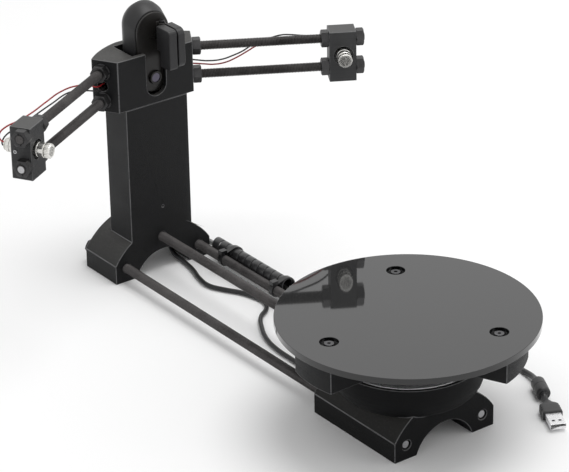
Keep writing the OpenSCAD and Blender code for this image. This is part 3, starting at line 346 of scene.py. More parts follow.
def moulded(name, dark, pale, rough, shine=0.5, grain=0.5, depth=0.00003, dust_amount=0.1):
    """Moulded plastic, rubber or paint: soft mottling and a fine grain."""
    material, tree, shader = start_material(name)
    grainy = node(tree, "ShaderNodeGroup", {"Grain Size": grain}, node_tree=grain_tree)
    dress(tree, shader, grainy.outputs["Patches"], [(0.35, dark), (0.65, pale)],
          [(0.3, rough - 0.05), (0.7, rough + 0.05)], (grainy.outputs["Height"], 0.4, depth),
          dust=(dust_amount, PALE_DUST))
    shader.inputs["Specular IOR Level"].default_value = shine
    return material


camera_plastic = moulded("camera_plastic", (0.010, 0.010, 0.011), (0.016, 0.016, 0.017), 0.42, shine=0.4)
camera_gloss = moulded("camera_gloss", (0.009, 0.0085, 0.008), (0.016, 0.0145, 0.0135), 0.3, shine=0.3, depth=0.00001)
black_lead = moulded("black_lead", (0.007, 0.007, 0.008), (0.013, 0.013, 0.014), 0.36, shine=0.45)
red_lead = moulded("red_lead", (0.26, 0.010, 0.013), (0.38, 0.018, 0.02), 0.36, dust_amount=0.04)
wrap_black = moulded("wrap_black", (0.012, 0.012, 0.013), (0.022, 0.022, 0.024), 0.3)
tie_nylon = moulded("tie_nylon", (0.008, 0.008, 0.009), (0.014, 0.014, 0.015), 0.3)
plug_black = moulded("plug_black", (0.009, 0.009, 0.010), (0.016, 0.016, 0.017), 0.46, grain=0.25, depth=0.00006)
connector_white = moulded("connector_white", (0.55, 0.54, 0.49), (0.68, 0.67, 0.62), 0.42)
socket_black = moulded("socket_black", (0.01, 0.01, 0.01), (0.018, 0.018, 0.018), 0.45)
print("moulded plastics ready")


# %% [markdown]
# ### The disc's mirror finish
# The disc is polished so flat that it mirrors the laser holders above it. The photograph shows that mirror image
# a hand's breadth nearer than a level sheet would give, so the sheet leans about four degrees against the arms. The
# solid stays level, and the lean is written as a very long slope in the height of the finish, with faint haze.

# %% Material: the disc's finish
DISC_LEAN = (-0.0493, -0.0553, 0.0)
gloss_black, tree, shader = start_material("gloss_black")
place = object_place(tree)
haze = noise(tree, place, 9.0, 5.0, 0.6)
lean = node(tree, "ShaderNodeVectorMath", {0: place, 1: DISC_LEAN}, operation="DOT_PRODUCT")
dress(tree, shader, haze, [(0.3, (0.0032, 0.0033, 0.0036)), (0.7, (0.0052, 0.0053, 0.0057))],
      [(0.3, 0.018), (0.75, 0.04)], (lean.outputs["Value"], 1.0, 1.0), dust=(0.02, PALE_DUST))
shader.inputs["Coat Weight"].default_value = 0.2
print("material", gloss_black.name)

# %% [markdown]
# ## Metals
# Several metals show on this machine. The rods and nuts are black-oxide steel, dark but clearly metal. The bearing
# is ground bright steel, with a grain drawn round it; its steel is made half diffuse and nearly white, a painted
# sheen that keeps the ring bright in the disc's shade. The lasers' barrels are turned metal with a satin plating, and
# the screws are zinc steel or blackened. All of them share one recipe with other numbers.


# %% Materials: metals
def metal(name, dark, pale, rough, stretch=(1.0, 1.0, 1.0), lines=900.0, metallic=1.0, spread=0.1):
    """Metal with a stretched grain in its colour, its roughness and its surface."""
    material, tree, shader = start_material(name)
    place = object_place(tree)
    drawn = node(tree, "ShaderNodeMapping", {"Vector": place, "Scale": stretch}).outputs[0]
    grainy = noise(tree, drawn, lines, 4.0, 0.6)
    broad = noise(tree, place, 45.0, 3.0)
    mottle = sums(tree, "MULTIPLY_ADD", grainy, 0.45, sums(tree, "MULTIPLY", broad, 0.55))
    dress(tree, shader, mottle, [(0.36, dark), (0.64, pale)], [(0.35, rough - spread), (0.65, rough + spread)],
          (grainy, 0.5, 0.00001), dust=(0.05, (0.22, 0.21, 0.2)))
    shader.inputs["Metallic"].default_value = metallic
    return material


black_rod = metal("black_rod", (0.045, 0.042, 0.042), (0.105, 0.100, 0.099), 0.44, metallic=0.85)
black_nut = metal("black_nut", (0.025, 0.025, 0.026), (0.07, 0.069, 0.07), 0.36, metallic=0.8, lines=1500.0)
# Nearly white and half diffuse: a painted sheen that keeps the ring bright in the disc's shade; plug shell and socket
# share it.
bearing_steel = metal("bearing_steel", (0.78, 0.78, 0.79), (0.93, 0.93, 0.94), 0.3, stretch=(1, 1, 14), spread=0.06,
                      metallic=0.55)
cage_brass = metal("cage_brass", (0.42, 0.27, 0.09), (0.6, 0.41, 0.16), 0.34)
motor_aluminium = metal("motor_aluminium", (0.42, 0.42, 0.43), (0.56, 0.56, 0.57), 0.4, lines=1400.0)
screw_steel = metal("screw_steel", (0.3, 0.3, 0.31), (0.55, 0.55, 0.56), 0.3, lines=1500.0)
black_screw = metal("black_screw", (0.012, 0.012, 0.013), (0.035, 0.035, 0.037), 0.34, metallic=0.7)
laser_metal = metal("laser_metal", (0.6, 0.59, 0.56), (0.86, 0.85, 0.82), 0.22, lines=1200.0)
disc_screw = metal("disc_screw", (0.05, 0.05, 0.052), (0.13, 0.13, 0.135), 0.32, lines=1500.0, metallic=0.85)
print("metals ready")

# %% [markdown]
# ### Laminated steel
# The middle of a stepper motor is a stack of thin pressed sheets, painted black. The stack shows as fine level
# lines, so this material reuses the layers group with the sheets' own half millimetre.

# %% Material: laminated steel
stator_steel, tree, shader = start_material("stator_steel")
sheets = node(tree, "ShaderNodeGroup", {"Layer Height": 0.5, "Unevenness": 0.4}, node_tree=layers_tree)
dress(tree, shader, sheets.outputs["Streaks"], [(0.3, (0.012, 0.012, 0.013)), (0.7, (0.05, 0.05, 0.052))],
      [(0.3, 0.34), (0.7, 0.5)], (sheets.outputs["Height"], 0.6, 0.00015))
shader.inputs["Metallic"].default_value = 0.6
print("material", stator_steel.name)

# %% [markdown]
# ### Circuit boards
# A circuit board is glass cloth under a coloured lacquer, with copper tracks that show through as slightly paler,
# raised lines. A brick pattern without real bricks gives tracks that run in straight steps, a few to a centimetre.


# %% Materials: boards
def board(name, lacquer, track):
    """A lacquered circuit board with raised tracks."""
    material, tree, shader = start_material(name)
    place = object_place(tree)
    turned = node(tree, "ShaderNodeMapping", {"Vector": place, "Rotation": (math.radians(90), 0, 0)}).outputs[0]
    tracks = node(tree, "ShaderNodeTexBrick", {
        "Vector": turned, "Scale": 95.0, "Mortar Size": 0.035, "Mortar Smooth": 0.1, "Brick Width": 1.3,
        "Row Height": 0.21, "Color1": (0, 0, 0, 1), "Color2": (0.12, 0.12, 0.12, 1), "Mortar": (1, 1, 1, 1)},
        offset=0.37, squash=0.6, squash_frequency=3)
    cloth = noise(tree, place, 1800.0, 2.0)
    mask = sums(tree, "MULTIPLY_ADD", cloth, 0.12, tracks.outputs["Color"])
    dress(tree, shader, mask, [(0.05, lacquer), (0.9, track)], [(0.3, 0.26), (0.7, 0.38)], (mask, 0.5, 0.00004),
          rough_mask=cloth)
    return material


board_green = board("board_green", (0.006, 0.06, 0.028), (0.03, 0.17, 0.07))
board_blue = board("board_blue", (0.006, 0.035, 0.12), (0.02, 0.11, 0.3))
print("boards", board_green.name, board_blue.name)

# %% [markdown]
# ### Lens glass
# The lenses are small curved glasses over a dark barrel. A dark, smooth shader with a violet coat looks like coated
# glass from every side, and needs no light passing through it.

# %% Material: lens glass
lens_glass, tree, shader = start_material("lens_glass")
haze = noise(tree, object_place(tree), 700.0, 2.0)
dress(tree, shader, haze, [(0.3, (0.006, 0.004, 0.014)), (0.7, (0.016, 0.01, 0.03))],
      [(0.3, 0.03), (0.8, 0.07)], (haze, 0.1, 0.000005))
shader.inputs["Specular IOR Level"].default_value = 0.8
shader.inputs["Coat Weight"].default_value = 0.6
shader.inputs["Coat Tint"].default_value = (0.75, 0.65, 1.0, 1)
print("material", lens_glass.name)

# %% [markdown]
# ## The leads
# Two free leads lie on the table. The thinner one goes from the column to the motor. The lead with the plug comes
# down inside the column, runs through a spiral wrap that is tied to the right rod, and ends beyond the disc. Each is
# one smooth curve through the drawing's points, so its length and its bends are real.


# %% Helper: a lead on a smooth curve
def lead_curve(name, points, diameter, material, sides=4):
    """A round lead through points of the drawing, as one open spline with smooth handles."""
    data = bpy.data.curves.new(name, "CURVE")
    data.dimensions = "3D"
    data.bevel_depth = diameter / 2 * MM
    data.bevel_resolution = sides
    data.resolution_u = 10
    data.use_fill_caps = True
    spline = data.splines.new("BEZIER")
    spline.bezier_points.add(len(points) - 1)
    for knot, point in zip(spline.bezier_points, points):
        knot.co = at(*point)
        knot.handle_left_type = knot.handle_right_type = "AUTO"
    data.materials.append(material)
    obj = show(bpy.data.objects.new(name, data), "root")
    bpy.context.view_layer.update()
    print(name, "is", round(spline.calc_length() * 1000), "mm long")
    return obj, spline.calc_length()


# %% Route of the lead with the plug
wrap_x, wrap_z, wrap_start_y, wrap_end_y = 47.3, 13.0, 314, 214
usb_start = [(12, 348, 54), (12, 348.7, 50.4), (12, 350.8, 47.3), (12, 353.9, 45.2), (12, 357.5, 44.5),
             (12.2, 366, 44.4), (13, 375, 43.2), (15.5, 383.5, 38), (19, 389, 29), (25, 392, 18), (33, 393, 8),
             (43, 391, 3), (52, 383, 2.5), (56, 370, 2.5), (57.2, 345, 2.8), (55, 335, 5), (51.2, 326, 8.4),
             (48.4, 318.5, 9.8)]
usb_middle = [(wrap_x, y, wrap_z - 3) for y in (312, 280, 264, 248, 216)]
usb_end = [(48.2, 206, 8.9), (53, 196, 5.4), (60.5, 184, 2.8), (73, 165, 2.5), (88, 130, 2.5), (102, 92, 2.5),
           (112, 50, 2.5), (117, 20, 2.5), (117, 2, 2.5), (114.6, -12, 4.2), (109.8, -22.6, 6), (105, -32, 6),
           (100.2, -41.4, 6), (97.3, -45.6, 4.6), (94.6, -50.9, 4.6)]
usb_lead, usb_length = lead_curve("usb_cord", usb_start + usb_middle + usb_end, 4.5, black_lead)
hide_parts("usb_lead")

# %% Route of the motor's lead
motor_down = [(20.5, 347.2, 84), (20.5, 347.2, 70), (20.5, 348, 52), (20, 349, 36), (20.5, 348.5, 16),
              (20.5, 346, 7), (20, 340, 3.2)]
on_the_table = [(x, y, 2.4) for x, y in (
    (19, 325), (16, 307), (11, 290), (9.5, 274), (15, 261), (23, 247), (27, 234), (28, 222), (23, 212), (10, 202),
    (0, 187), (-8, 170), (-12, 152), (-13, 130), (-13, 100), (-12, 70))]
motor_up = [(-10, 48, 3.5), (-7.5, 36, 9), (-6.4, 28, 12.2), (-6, 22, 12.5), (-6, 19.6, 12.5)]
motor_lead, motor_length = lead_curve("motor_cord", motor_down + on_the_table + motor_up, 3.8, black_lead)
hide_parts("motor_lead")

# %% [markdown]
# ### Spiral wrap
# The wrap is a flat plastic band wound round the lead, with a small gap between its turns. Spinning one rounded
# section round the wrap's axis while it travels along the rod makes the whole helix in one step.

# %% Spiral wrap
wrap_turns, wrap_steps = 11, 28
bm = bmesh.new()
section = bmesh.ops.create_grid(bm, x_segments=1, y_segments=1, size=0.5)["verts"]
bmesh.ops.scale(bm, vec=(1.1, 8.3, 1), verts=section)
bmesh.ops.bevel(bm, geom=list(bm.verts), offset=0.45, segments=3, profile=0.5, affect="VERTICES", material=-1)
bmesh.ops.translate(bm, vec=(5.95, 0, 0), verts=bm.verts)
bmesh.ops.spin(bm, geom=list(bm.faces) + list(bm.edges) + list(bm.verts), cent=(0, 0, 0), axis=(0, -1, 0),
               dvec=(0, (wrap_end_y - wrap_start_y) / (wrap_turns * wrap_steps), 0),
               angle=2 * math.pi * wrap_turns, steps=wrap_turns * wrap_steps)
bmesh.ops.translate(bm, vec=(wrap_x, wrap_start_y, wrap_z), verts=bm.verts)
cable_wrap = finish_piece(bm, "spiral_wrap", [wrap_black], ["cable_wrap"], sharp=50)

# %% [markdown]
# ### Plug and ferrite bead
# The lead ends in a flat plug: a soft overmould that tapers to the lead, with grip ribs on its sides, and a folded
# steel shell with two windows. Just before it sits the ferrite bead, a moulded capsule with a parting line round
# its middle. Both lie turned by the same angle, so they are made upright and turned into place together.

# %% Places of the plug and the bead
UP_TO_BACK = Matrix.Rotation(math.radians(-90), 4, "X")
UP_TO_FRONT = Matrix.Rotation(math.radians(90), 4, "X")
plug_turn = Matrix.Rotation(math.radians(-27), 4, "Z")
plug_place = Matrix.Translation((85.9, -67.9, 4.6)) @ plug_turn
bead_place = Matrix.Translation((105, -32, 6)) @ plug_turn @ UP_TO_FRONT


def ring(bm, shape, height, segments=48):
    """One loop of edges at a height; shape gives x and y for an angle."""
    made = bmesh.ops.create_circle(bm, segments=segments, radius=1)["verts"]
    for vert in made:
        x, y = shape(math.atan2(vert.co.y, vert.co.x))
        vert.co = (x, y, height(x, y) if callable(height) else height)
    found = set(made)
    return [edge for edge in bm.edges if edge.verts[0] in found and edge.verts[1] in found]


def tube_of(bm, rings, closed=False, caps=True):
    """Bridges a list of loops to a wall; closed joins the last to the first, caps fills both ends."""
    for first, second in zip(rings, rings[1:] + ([rings[0]] if closed else [])):
        bmesh.ops.bridge_loops(bm, edges=first + second)
    if caps and not closed:
        for end in (rings[0], rings[-1]):
            bmesh.ops.contextual_create(bm, geom=end)


def circle(radius):
    """A circle as a function of the angle round it."""
    return lambda angle: (radius * math.cos(angle), radius * math.sin(angle))


def rounded_box_outline(width, height, corner):
    """A rounded rectangle as a function of the angle round it."""
    def outline(angle):
        c, s = math.cos(angle), math.sin(angle)
        power = 2 / max(2.2, min(width, height) / corner)
        return (width / 2 * math.copysign(abs(c) ** power, c), height / 2 * math.copysign(abs(s) ** power, s))
    return outline


# %% Plug body
bm = bmesh.new()
profile = [(0, 14.2, 6.8), (0.7, 15.5, 8), (3.6, 15.5, 8), (4.1, 14.8, 8), (4.9, 14.8, 8), (5.4, 15.5, 8),
           (6.4, 15.5, 8), (6.9, 14.8, 8), (7.7, 14.8, 8), (8.2, 15.5, 8), (9.2, 15.5, 8), (9.7, 14.8, 8),
           (10.5, 14.8, 8), (11, 15.3, 8), (12.6, 15.0, 7.8), (14.6, 12.2, 7.2), (16.4, 8.4, 6.4), (19, 6.2, 5.8)]
tube_of(bm, [ring(bm, rounded_box_outline(w, h, 1.3), y) for y, w, h in profile])
carry(bm, plug_place @ UP_TO_BACK)
plug_body = finish_piece(bm, "plug_overmould", [plug_black], ["usb_plug_body"], sharp=40)

# %% Strain relief
bm = bmesh.new()
rings = []
for k in range(6):
    y, radius = 18.6 + 1.7 * k, 3.0 - 0.12 * k
    rings += [ring(bm, circle(radius - groove), y + shift, 24)
              for groove, shift in ((0, 0), (0, 1.0), (0.35, 1.15), (0.35, 1.55))]
tube_of(bm, rings)
carry(bm, plug_place @ UP_TO_BACK)
plug_relief = finish_piece(bm, "plug_strain_relief", [plug_black], sharp=50)

# %% Ferrite bead
bm = bmesh.new()
bead_profile = [(-10.5, 2.9), (-10.5, 4.3), (-9.9, 5.1), (-8.9, 5.6), (-7.6, 5.7), (-0.35, 5.7), (-0.2, 5.5),
                (0.2, 5.5), (0.35, 5.7), (7.6, 5.7), (8.9, 5.6), (9.9, 5.1), (10.5, 4.3), (10.5, 2.9)]
tube_of(bm, [ring(bm, circle(radius), y, 40) for y, radius in bead_profile], caps=False)
for end in (-10.5, 10.5):
    collar = [ring(bm, circle(radius), end + shift, 24)
              for radius, shift in ((2.9, 0), (2.9, math.copysign(0.9, end)), (2.2, math.copysign(1.4, end)))]
    tube_of(bm, collar, caps=False)
carry(bm, bead_place)
bead = finish_piece(bm, "ferrite", [plug_black], ["ferrite_bead"], sharp=50)

# %% [markdown]
# ## Carrying CAD parts over with softened edges
# Most printed and pressed parts have the right shape in CAD but knife-sharp edges. A copy of such a part is merged
# from loose triangles, its flat faces are joined again, and a narrow live bevel rounds every edge. The bevel's own
# faces get a second material; on the printed parts it is a paler one that paints a highlight along the edges.


# %% Helper: a softened copy of a CAD part
def softened(node_name, material, width, body="root", edge=None, segments=2, sharp=32):
    """A copy of a CAD part, merged and bevelled, that stands for it; its bevel faces take the edge material, if one
    is named.
    """
    bm = bmesh.new()
    bm.from_mesh(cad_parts[node_name].data)
    bmesh.ops.remove_doubles(bm, verts=bm.verts, dist=2e-6)
    bmesh.ops.dissolve_limit(bm, angle_limit=math.radians(0.6), verts=bm.verts, edges=bm.edges)
    mesh = bpy.data.meshes.new(node_name + "_finished")
    bm.to_mesh(mesh)
    bm.free()
    mesh.materials.append(material)
    mesh.materials.append(edge or material)
    mesh.polygons.foreach_set("material_index", [0] * len(mesh.polygons))
    smooth(mesh, sharp)
    obj = show(bpy.data.objects.new(mesh.name, mesh), body, [node_name])
    bevel = obj.modifiers.new("rounded_edges", "BEVEL")
    bevel.width = width * MM
    bevel.segments = segments
    bevel.limit_method = "ANGLE"
    bevel.angle_limit = math.radians(sharp)
    bevel.use_clamp_overlap = False
    bevel.harden_normals = True
    # On printed parts the bevel faces take the paler edge material, a painted highlight.
    bevel.material = 1
    print(obj.name, "has", len(mesh.polygons), "faces before its edges")
    return obj


def keep(node_name, material):
    """A CAD part whose shape is right: it stays, and only its material changes."""
    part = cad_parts[node_name]
    part.data.materials.clear()
    part.data.materials.append(material)
    print(node_name, "keeps its shape and is now", material.name)


# %% Plug shell and the plug at the board
# The shell uses the same pale steel, whose brightness is a painted sheen.
plug_shell = softened("usb_plug_shell", bearing_steel, 0.25)
board_plug = softened("usb_board_plug", plug_black, 0.5)
bm = bmesh.new()
tongue = bmesh.ops.create_cube(bm, size=1)["verts"]
bmesh.ops.scale(bm, vec=(11.0, 15.6, 1.7), verts=tongue)
bmesh.ops.translate(bm, vec=(0, -8.2, -1.0), verts=tongue)
bmesh.ops.bevel(bm, geom=list(bm.edges), offset=0.2, segments=2, profile=0.5, affect="EDGES", material=-1)
for x in (-3.5, -1.2, 1.2, 3.5):
    pad = bmesh.ops.create_cube(bm, size=1)["verts"]
    bmesh.ops.scale(bm, vec=(1.1, 9.0, 0.16), verts=pad)
    bmesh.ops.translate(bm, vec=(x, -10.6, -0.12), verts=pad)
    for face in {face for vert in pad for face in vert.link_faces}:
        face.material_index = 1
carry(bm, plug_place)
plug_tongue = finish_piece(bm, "plug_tongue", [connector_white, cage_brass])

# %% Cable ties
softened("cable_ties", tie_nylon, 0.25)

# %% [markdown]
# ## Floor, backdrop and light
# The photograph is cut out on white with soft shadows under the feet. A wide pale floor takes the shadows. The world
# is white to the camera and in reflections, and a quarter dimmer as a light, so that a large soft lamp overhead and a
# weak one at the front right can still shape the black parts.

# %% World and lamps
WORLD_LIGHT = 0.72
world = bpy.data.worlds.new("studio")
bpy.context.scene.world = world
world.use_nodes = True
tree = world.node_tree
background = tree.nodes["Background"]
path = node(tree, "ShaderNodeLightPath")
seen = sums(tree, "MAXIMUM", path.outputs["Is Camera Ray"],
            sums(tree, "MAXIMUM", path.outputs["Is Glossy Ray"], path.outputs["Is Transmission Ray"]))
background.inputs["Color"].default_value = (1, 1, 1, 1)
tree.links.new(sums(tree, "MULTIPLY_ADD", seen, 1 - WORLD_LIGHT, WORLD_LIGHT), background.inputs["Strength"])


def area_lamp(name, place, aim, size, watts):
    """A round lamp at a place, turned to a point; all in metres."""
    data = bpy.data.lights.new(name, "AREA")
    data.shape, data.size, data.energy = "DISK", size, watts
    lamp = bpy.data.objects.new(name, data)
    bpy.context.scene.collection.objects.link(lamp)
    direction = Vector(aim) - Vector(place)
    lamp.matrix_world = Matrix.Translation(place) @ direction.to_track_quat("-Z", "Y").to_matrix().to_4x4()


area_lamp("key_lamp", (0.5, -0.1, 2.0), (0, 0, 0), 1.5, 18)
area_lamp("fill_lamp", (1.3, -1.5, 1.0), (0, 0, 0.1), 1.0, 3)

# %% Floor
bm = bmesh.new()
bmesh.ops.create_circle(bm, segments=64, radius=9.0, cap_ends=True)
floor_mesh = bpy.data.meshes.new("floor")
bm.to_mesh(floor_mesh)
bm.free()
floor = bpy.data.objects.new("floor", floor_mesh)
bpy.context.scene.collection.objects.link(floor)
floor_white, tree, shader = start_material("floor_white")
soft = noise(tree, object_place(tree), 3.0, 2.0)
tree.links.new(ramp(tree, soft, [(0.3, 0.96), (0.7, 0.975)]), shader.inputs["Base Color"])
shader.inputs["Roughness"].default_value = 0.6
shader.inputs["Specular IOR Level"].default_value = 0.0
floor_mesh.materials.append(floor_white)
print("floor placed")

# %% [markdown]
# ## Printed parts
# The two feet, the column, the head block, the disc's holder and the laser holders were all printed. Their shapes
# are the drawing's, so each is carried over with rounded edges that carry a painted highlight. The front foot takes a
# darker copy of the plastic as painted shade, and the laser holders a paler copy as painted light.

# %% Printed parts
for part, plastic in (("front_foot", printed_foot_shaded), ("column", printed_black), ("head_block", printed_black),
                      ("laser_holder_left", printed_lit), ("laser_holder_right", printed_lit)):
    softened(part, plastic, 0.55, edge=printed_edge_highlight)
softened("disc_holder", printed_black, 0.5, body="turntable", edge=printed_edge_highlight)

# %% [markdown]
# ## Disc
# The turning disc is a glossy black sheet, so smooth that the arms above are mirrored in it. Its rim is cut and
# only slightly broken at the edge, and the three sunk holes hold cap screws.

# %% Disc and its screws
softened("turntable_disc", gloss_black, 0.3, body="turntable", segments=3)
softened("disc_screws", disc_screw, 0.2, body="turntable")

# %% [markdown]
# ## Bearing and motor
# The bright ring under the disc is the large bearing. The motor hangs below it: two cast caps, the stack of sheets
# between them, and a shaft. All keep the drawing's shapes, with ground or sawn edges broken.

# %% Bearing
# The ring's pale, half-diffuse steel is a painted sheen, bright even in the disc's shade.
softened("bearing_outer_ring", bearing_steel, 0.6, segments=3)
softened("bearing_inner_ring", bearing_steel, 0.6, body="turntable", segments=3)
keep("bearing_balls", bearing_steel)
keep("bearing_cage", cage_brass)

# %% Motor
softened("motor_front_cap", motor_aluminium, 0.4)
softened("motor_rear_cap", motor_aluminium, 0.4)
softened("motor_stator", stator_steel, 0.3)
softened("motor_screws", screw_steel, 0.15)
softened("motor_socket", connector_white, 0.2)
keep("motor_rotor", motor_aluminium)

# %% [markdown]
# ## Threaded rods
# A threaded rod could be a smooth bar with a striped bump, but its outline would be straight. Here the thread is
# real: one small profile, the width of a single turn, is spun up a helix, cut clean at both ends, and wound round a
# core with chamfered ends. Fourteen steps a turn are enough, because each turn is only two pixels wide.


# %% Helper: a threaded rod
def threaded_rod(bm, start, end, diameter=8.0, pitch=1.25, steps=14, bright=(True, True)):
    """A rod with a real thread from start to end; bright says which of its cut ends were never blackened."""
    start, end = Vector(start), Vector(end)
    length = (end - start).length
    rod = bmesh.new()
    outer, root = diameter / 2 - 0.02, diameter / 2 - 0.62
    chain = [rod.verts.new(p) for p in ((root, 0, 0), (outer, 0, pitch * 0.42), (outer, 0, pitch * 0.58),
                                        (root, 0, pitch))]
    edges = [rod.edges.new(pair) for pair in zip(chain, chain[1:])]
    count = int(length / pitch) - 1
    bmesh.ops.spin(rod, geom=chain + edges, cent=(0, 0, 0), axis=(0, 0, 1), dvec=(0, 0, pitch / steps),
                   angle=2 * math.pi, steps=steps)
    made = 1
    while made < count:
        more = min(made, count - made)
        copied = bmesh.ops.duplicate(rod, geom=list(rod.verts) + list(rod.edges) + list(rod.faces))["geom"]
        bmesh.ops.translate(rod, vec=(0, 0, pitch * more),
                            verts=[part for part in copied if isinstance(part, bmesh.types.BMVert)])
        made += more
    bmesh.ops.remove_doubles(rod, verts=rod.verts, dist=0.003)
    shift = (length - (count + 1) * pitch) / 2
    bmesh.ops.translate(rod, vec=(0, 0, shift), verts=rod.verts)
    for place, side in ((0.75, -1), (length - 0.75, 1)):
        bmesh.ops.bisect_plane(rod, geom=list(rod.verts) + list(rod.edges) + list(rod.faces), dist=0.0005,
                               plane_co=(0, 0, place), plane_no=(0, 0, side), clear_outer=True)
    wound = set(rod.faces)
    core = [ring(rod, circle(r), z, 28) for r, z in (
        (2.9, 0), (root + 0.05, 0.5), (root + 0.05, 1.0), (root + 0.05, length - 1.0), (root + 0.05, length - 0.5),
        (2.9, length))]
    tube_of(rod, core)
    for face in set(rod.faces) - wound:
        middle = face.calc_center_median().z
        face.material_index = int((middle < 0.2 and bright[0]) or (middle > length - 0.2 and bright[1]))
    turn = (end - start).to_track_quat("Z", "Y").to_matrix().to_4x4()
    carry(rod, Matrix.Translation(start) @ turn)
    merge(bm, rod)


# %% Base rods
rod_x, rod_z, mid_rod_z = 36.5, 12.3, 31.0
rod_front_y, mid_rod_front_y, rod_back_y = -42.8, 26.0, 383.0
for name, x, z, y0 in (("rod_left", -rod_x, rod_z, rod_front_y), ("rod_right", rod_x, rod_z, rod_front_y),
                       ("rod_middle", 0, mid_rod_z, mid_rod_front_y)):
    bm = bmesh.new()
    threaded_rod(bm, (x, y0, z), (x, rod_back_y, z))
    finish_piece(bm, name + "_threaded", [black_rod, screw_steel], [name], sharp=40, doubles=0)

# %% [markdown]
# ### The arms' own directions
# Each arm leaves the head block at an angle and carries its holder about two hundred millimetres out. Counting
# along the arm, across it and up keeps every number the same for both arms, and one function mirrors the left one.

# %% Arm rods
arm_angle = math.radians(30.5)
arm_root_y = 364.7
arm_levels = (162.0, 187.0)
arm_start, arm_end = 36.0, 194.5


def on_arm(side, along, across, height):
    """A point on an arm: side is -1 for the left and 1 for the right."""
    c, s = math.cos(arm_angle), math.sin(arm_angle)
    return Vector((side * (along * c + across * s), arm_root_y - along * s + across * c, height))


def arm_matrix(side):
    """Turns a shape drawn along, across and up into the place of an arm."""
    c, s = math.cos(arm_angle), math.sin(arm_angle)
    return Matrix(((side * c, side * s, 0, 0), (-s, c, 0, arm_root_y), (0, 0, 1, 0), (0, 0, 0, 1)))


for side, name in ((-1, "arm_rods_left"), (1, "arm_rods_right")):
    bm = bmesh.new()
    for height in arm_levels:
        threaded_rod(bm, on_arm(side, arm_start, 0, height), on_arm(side, arm_end, 0, height),
                     bright=(False, side < 0 and height == arm_levels[0]))
    finish_piece(bm, name + "_threaded", [black_rod, screw_steel], [name], sharp=40, doubles=0)

# %% [markdown]
# ## Hex nuts
# A real nut is not a plain hexagon: its corners are turned down by a cone at both faces, and the bore opens with a
# small funnel. Both follow from rings of forty-eight points that are bridged one after another; at the corners, the
# hexagon's ring dips by the cone's slope.


# %% Helper: a hex nut
def hex_outline(across):
    """A hexagon as a function of the angle round it."""
    def outline(angle):
        away = (math.degrees(angle) - 30) % 60
        away = math.radians(min(away, 60 - away))
        reach = across / 2 / math.cos(away)
        return (reach * math.cos(angle), reach * math.sin(angle))
    return outline


def hex_nut(bm, start, direction, height=6.5, across=13.0, bore=7.4, flange=0.0):
    """A nut whose first face is at start; flange is the diameter of a collar under it."""
    nut = bmesh.new()
    flat_r = across / 2 * 0.985

    def dip(x, y):
        return max(0.0, math.hypot(x, y) - flat_r) * math.tan(math.radians(30))

    low = 1.0 if flange else 0.0
    rings = []
    if flange:
        rings += [ring(nut, circle(flange / 2), 0), ring(nut, circle(flange / 2), 0.7),
                  ring(nut, circle(across / 2 + 0.15), low)]
    rings += [ring(nut, hex_outline(across), (lambda x, y: low + 0.01) if flange else dip),
              ring(nut, hex_outline(across), lambda x, y: height - dip(x, y)),
              ring(nut, circle(flat_r), height), ring(nut, circle(bore / 2 + 0.55), height),
              ring(nut, circle(bore / 2), height - 0.6), ring(nut, circle(bore / 2), 0.6),
              ring(nut, circle(bore / 2 + 0.55), 0)]
    if not flange:
        rings.append(ring(nut, circle(flat_r), 0))
    tube_of(nut, rings, closed=True)
    turn = Vector(direction).to_track_quat("Z", "Y").to_matrix().to_4x4()
    carry(nut, Matrix.Translation(Vector(start)) @ turn)
    merge(bm, nut)


# %% Nuts on the base rods
bm = bmesh.new()
back_nut_y, front_nut_y, mid_nut_y = 373.7, 20.0, 38.0
for x, z, y0 in ((-rod_x, rod_z, back_nut_y), (rod_x, rod_z, back_nut_y), (0, mid_rod_z, back_nut_y),
                 (-rod_x, rod_z, front_nut_y), (rod_x, rod_z, front_nut_y), (0, mid_rod_z, mid_nut_y)):
    hex_nut(bm, (x, y0, z), (0, 1, 0))
finish_piece(bm, "base_nuts_turned", [black_nut], ["base_nuts"], sharp=25)
softened("base_washers", black_nut, 0.2)

# %% Nuts on the arms
inner_nut, head_nut, holder_nuts = 38.5, 51.0, (158.1, 187.2)
bm = bmesh.new()
for side in (-1, 1):
    out = on_arm(side, 1, 0, 0) - on_arm(side, 0, 0, 0)
    for height in arm_levels:
        hex_nut(bm, on_arm(side, inner_nut, 0, height), out)
        hex_nut(bm, on_arm(side, head_nut, 0, height), out, height=7.5, flange=14.6)
        for along in holder_nuts:
            hex_nut(bm, on_arm(side, along, 0, height), out)
finish_piece(bm, "arm_nuts_turned", [black_nut], ["arm_nuts"], sharp=25)

# %% [markdown]
# ## Line lasers
# Each laser is a small turned barrel with a ring in front that focuses it. The ring is knurled so that fingers can
# turn it, and the barrel has a groove and a collar. Both are profiles spun round the barrel's own axis, which points
# across the arm, and the knurl comes from a ring whose radius goes in and out thirty times.

# %% Helpers for turned pieces
BARREL_ALONG, BARREL_HEIGHT = 176.5, 173.0


def turned(bm, profile, segments=48):
    """A closed turned shape from (radius, height) pairs, first and last on the axis or on a bore."""
    tube_of(bm, [ring(bm, circle(r), z, segments) for r, z in profile],
            closed=profile[0][0] > 0.8 and profile[0][0] == profile[-1][0])


def barrel_matrix(side):
    """From a shape drawn upright, with height as the distance behind the rods, to a barrel's place."""
    upright = Matrix(((1, 0, 0, BARREL_ALONG), (0, 0, 1, 0), (0, -1, 0, BARREL_HEIGHT), (0, 0, 0, 1)))
    return arm_matrix(side) @ upright


def knurl(angle):
    """The focus ring's outline: thirty ridges with thirty valleys between them."""
    reach = 5.78 + 0.198 * math.copysign(1, math.cos(angle * 30 + 0.01))
    return (reach * math.cos(angle), reach * math.sin(angle))


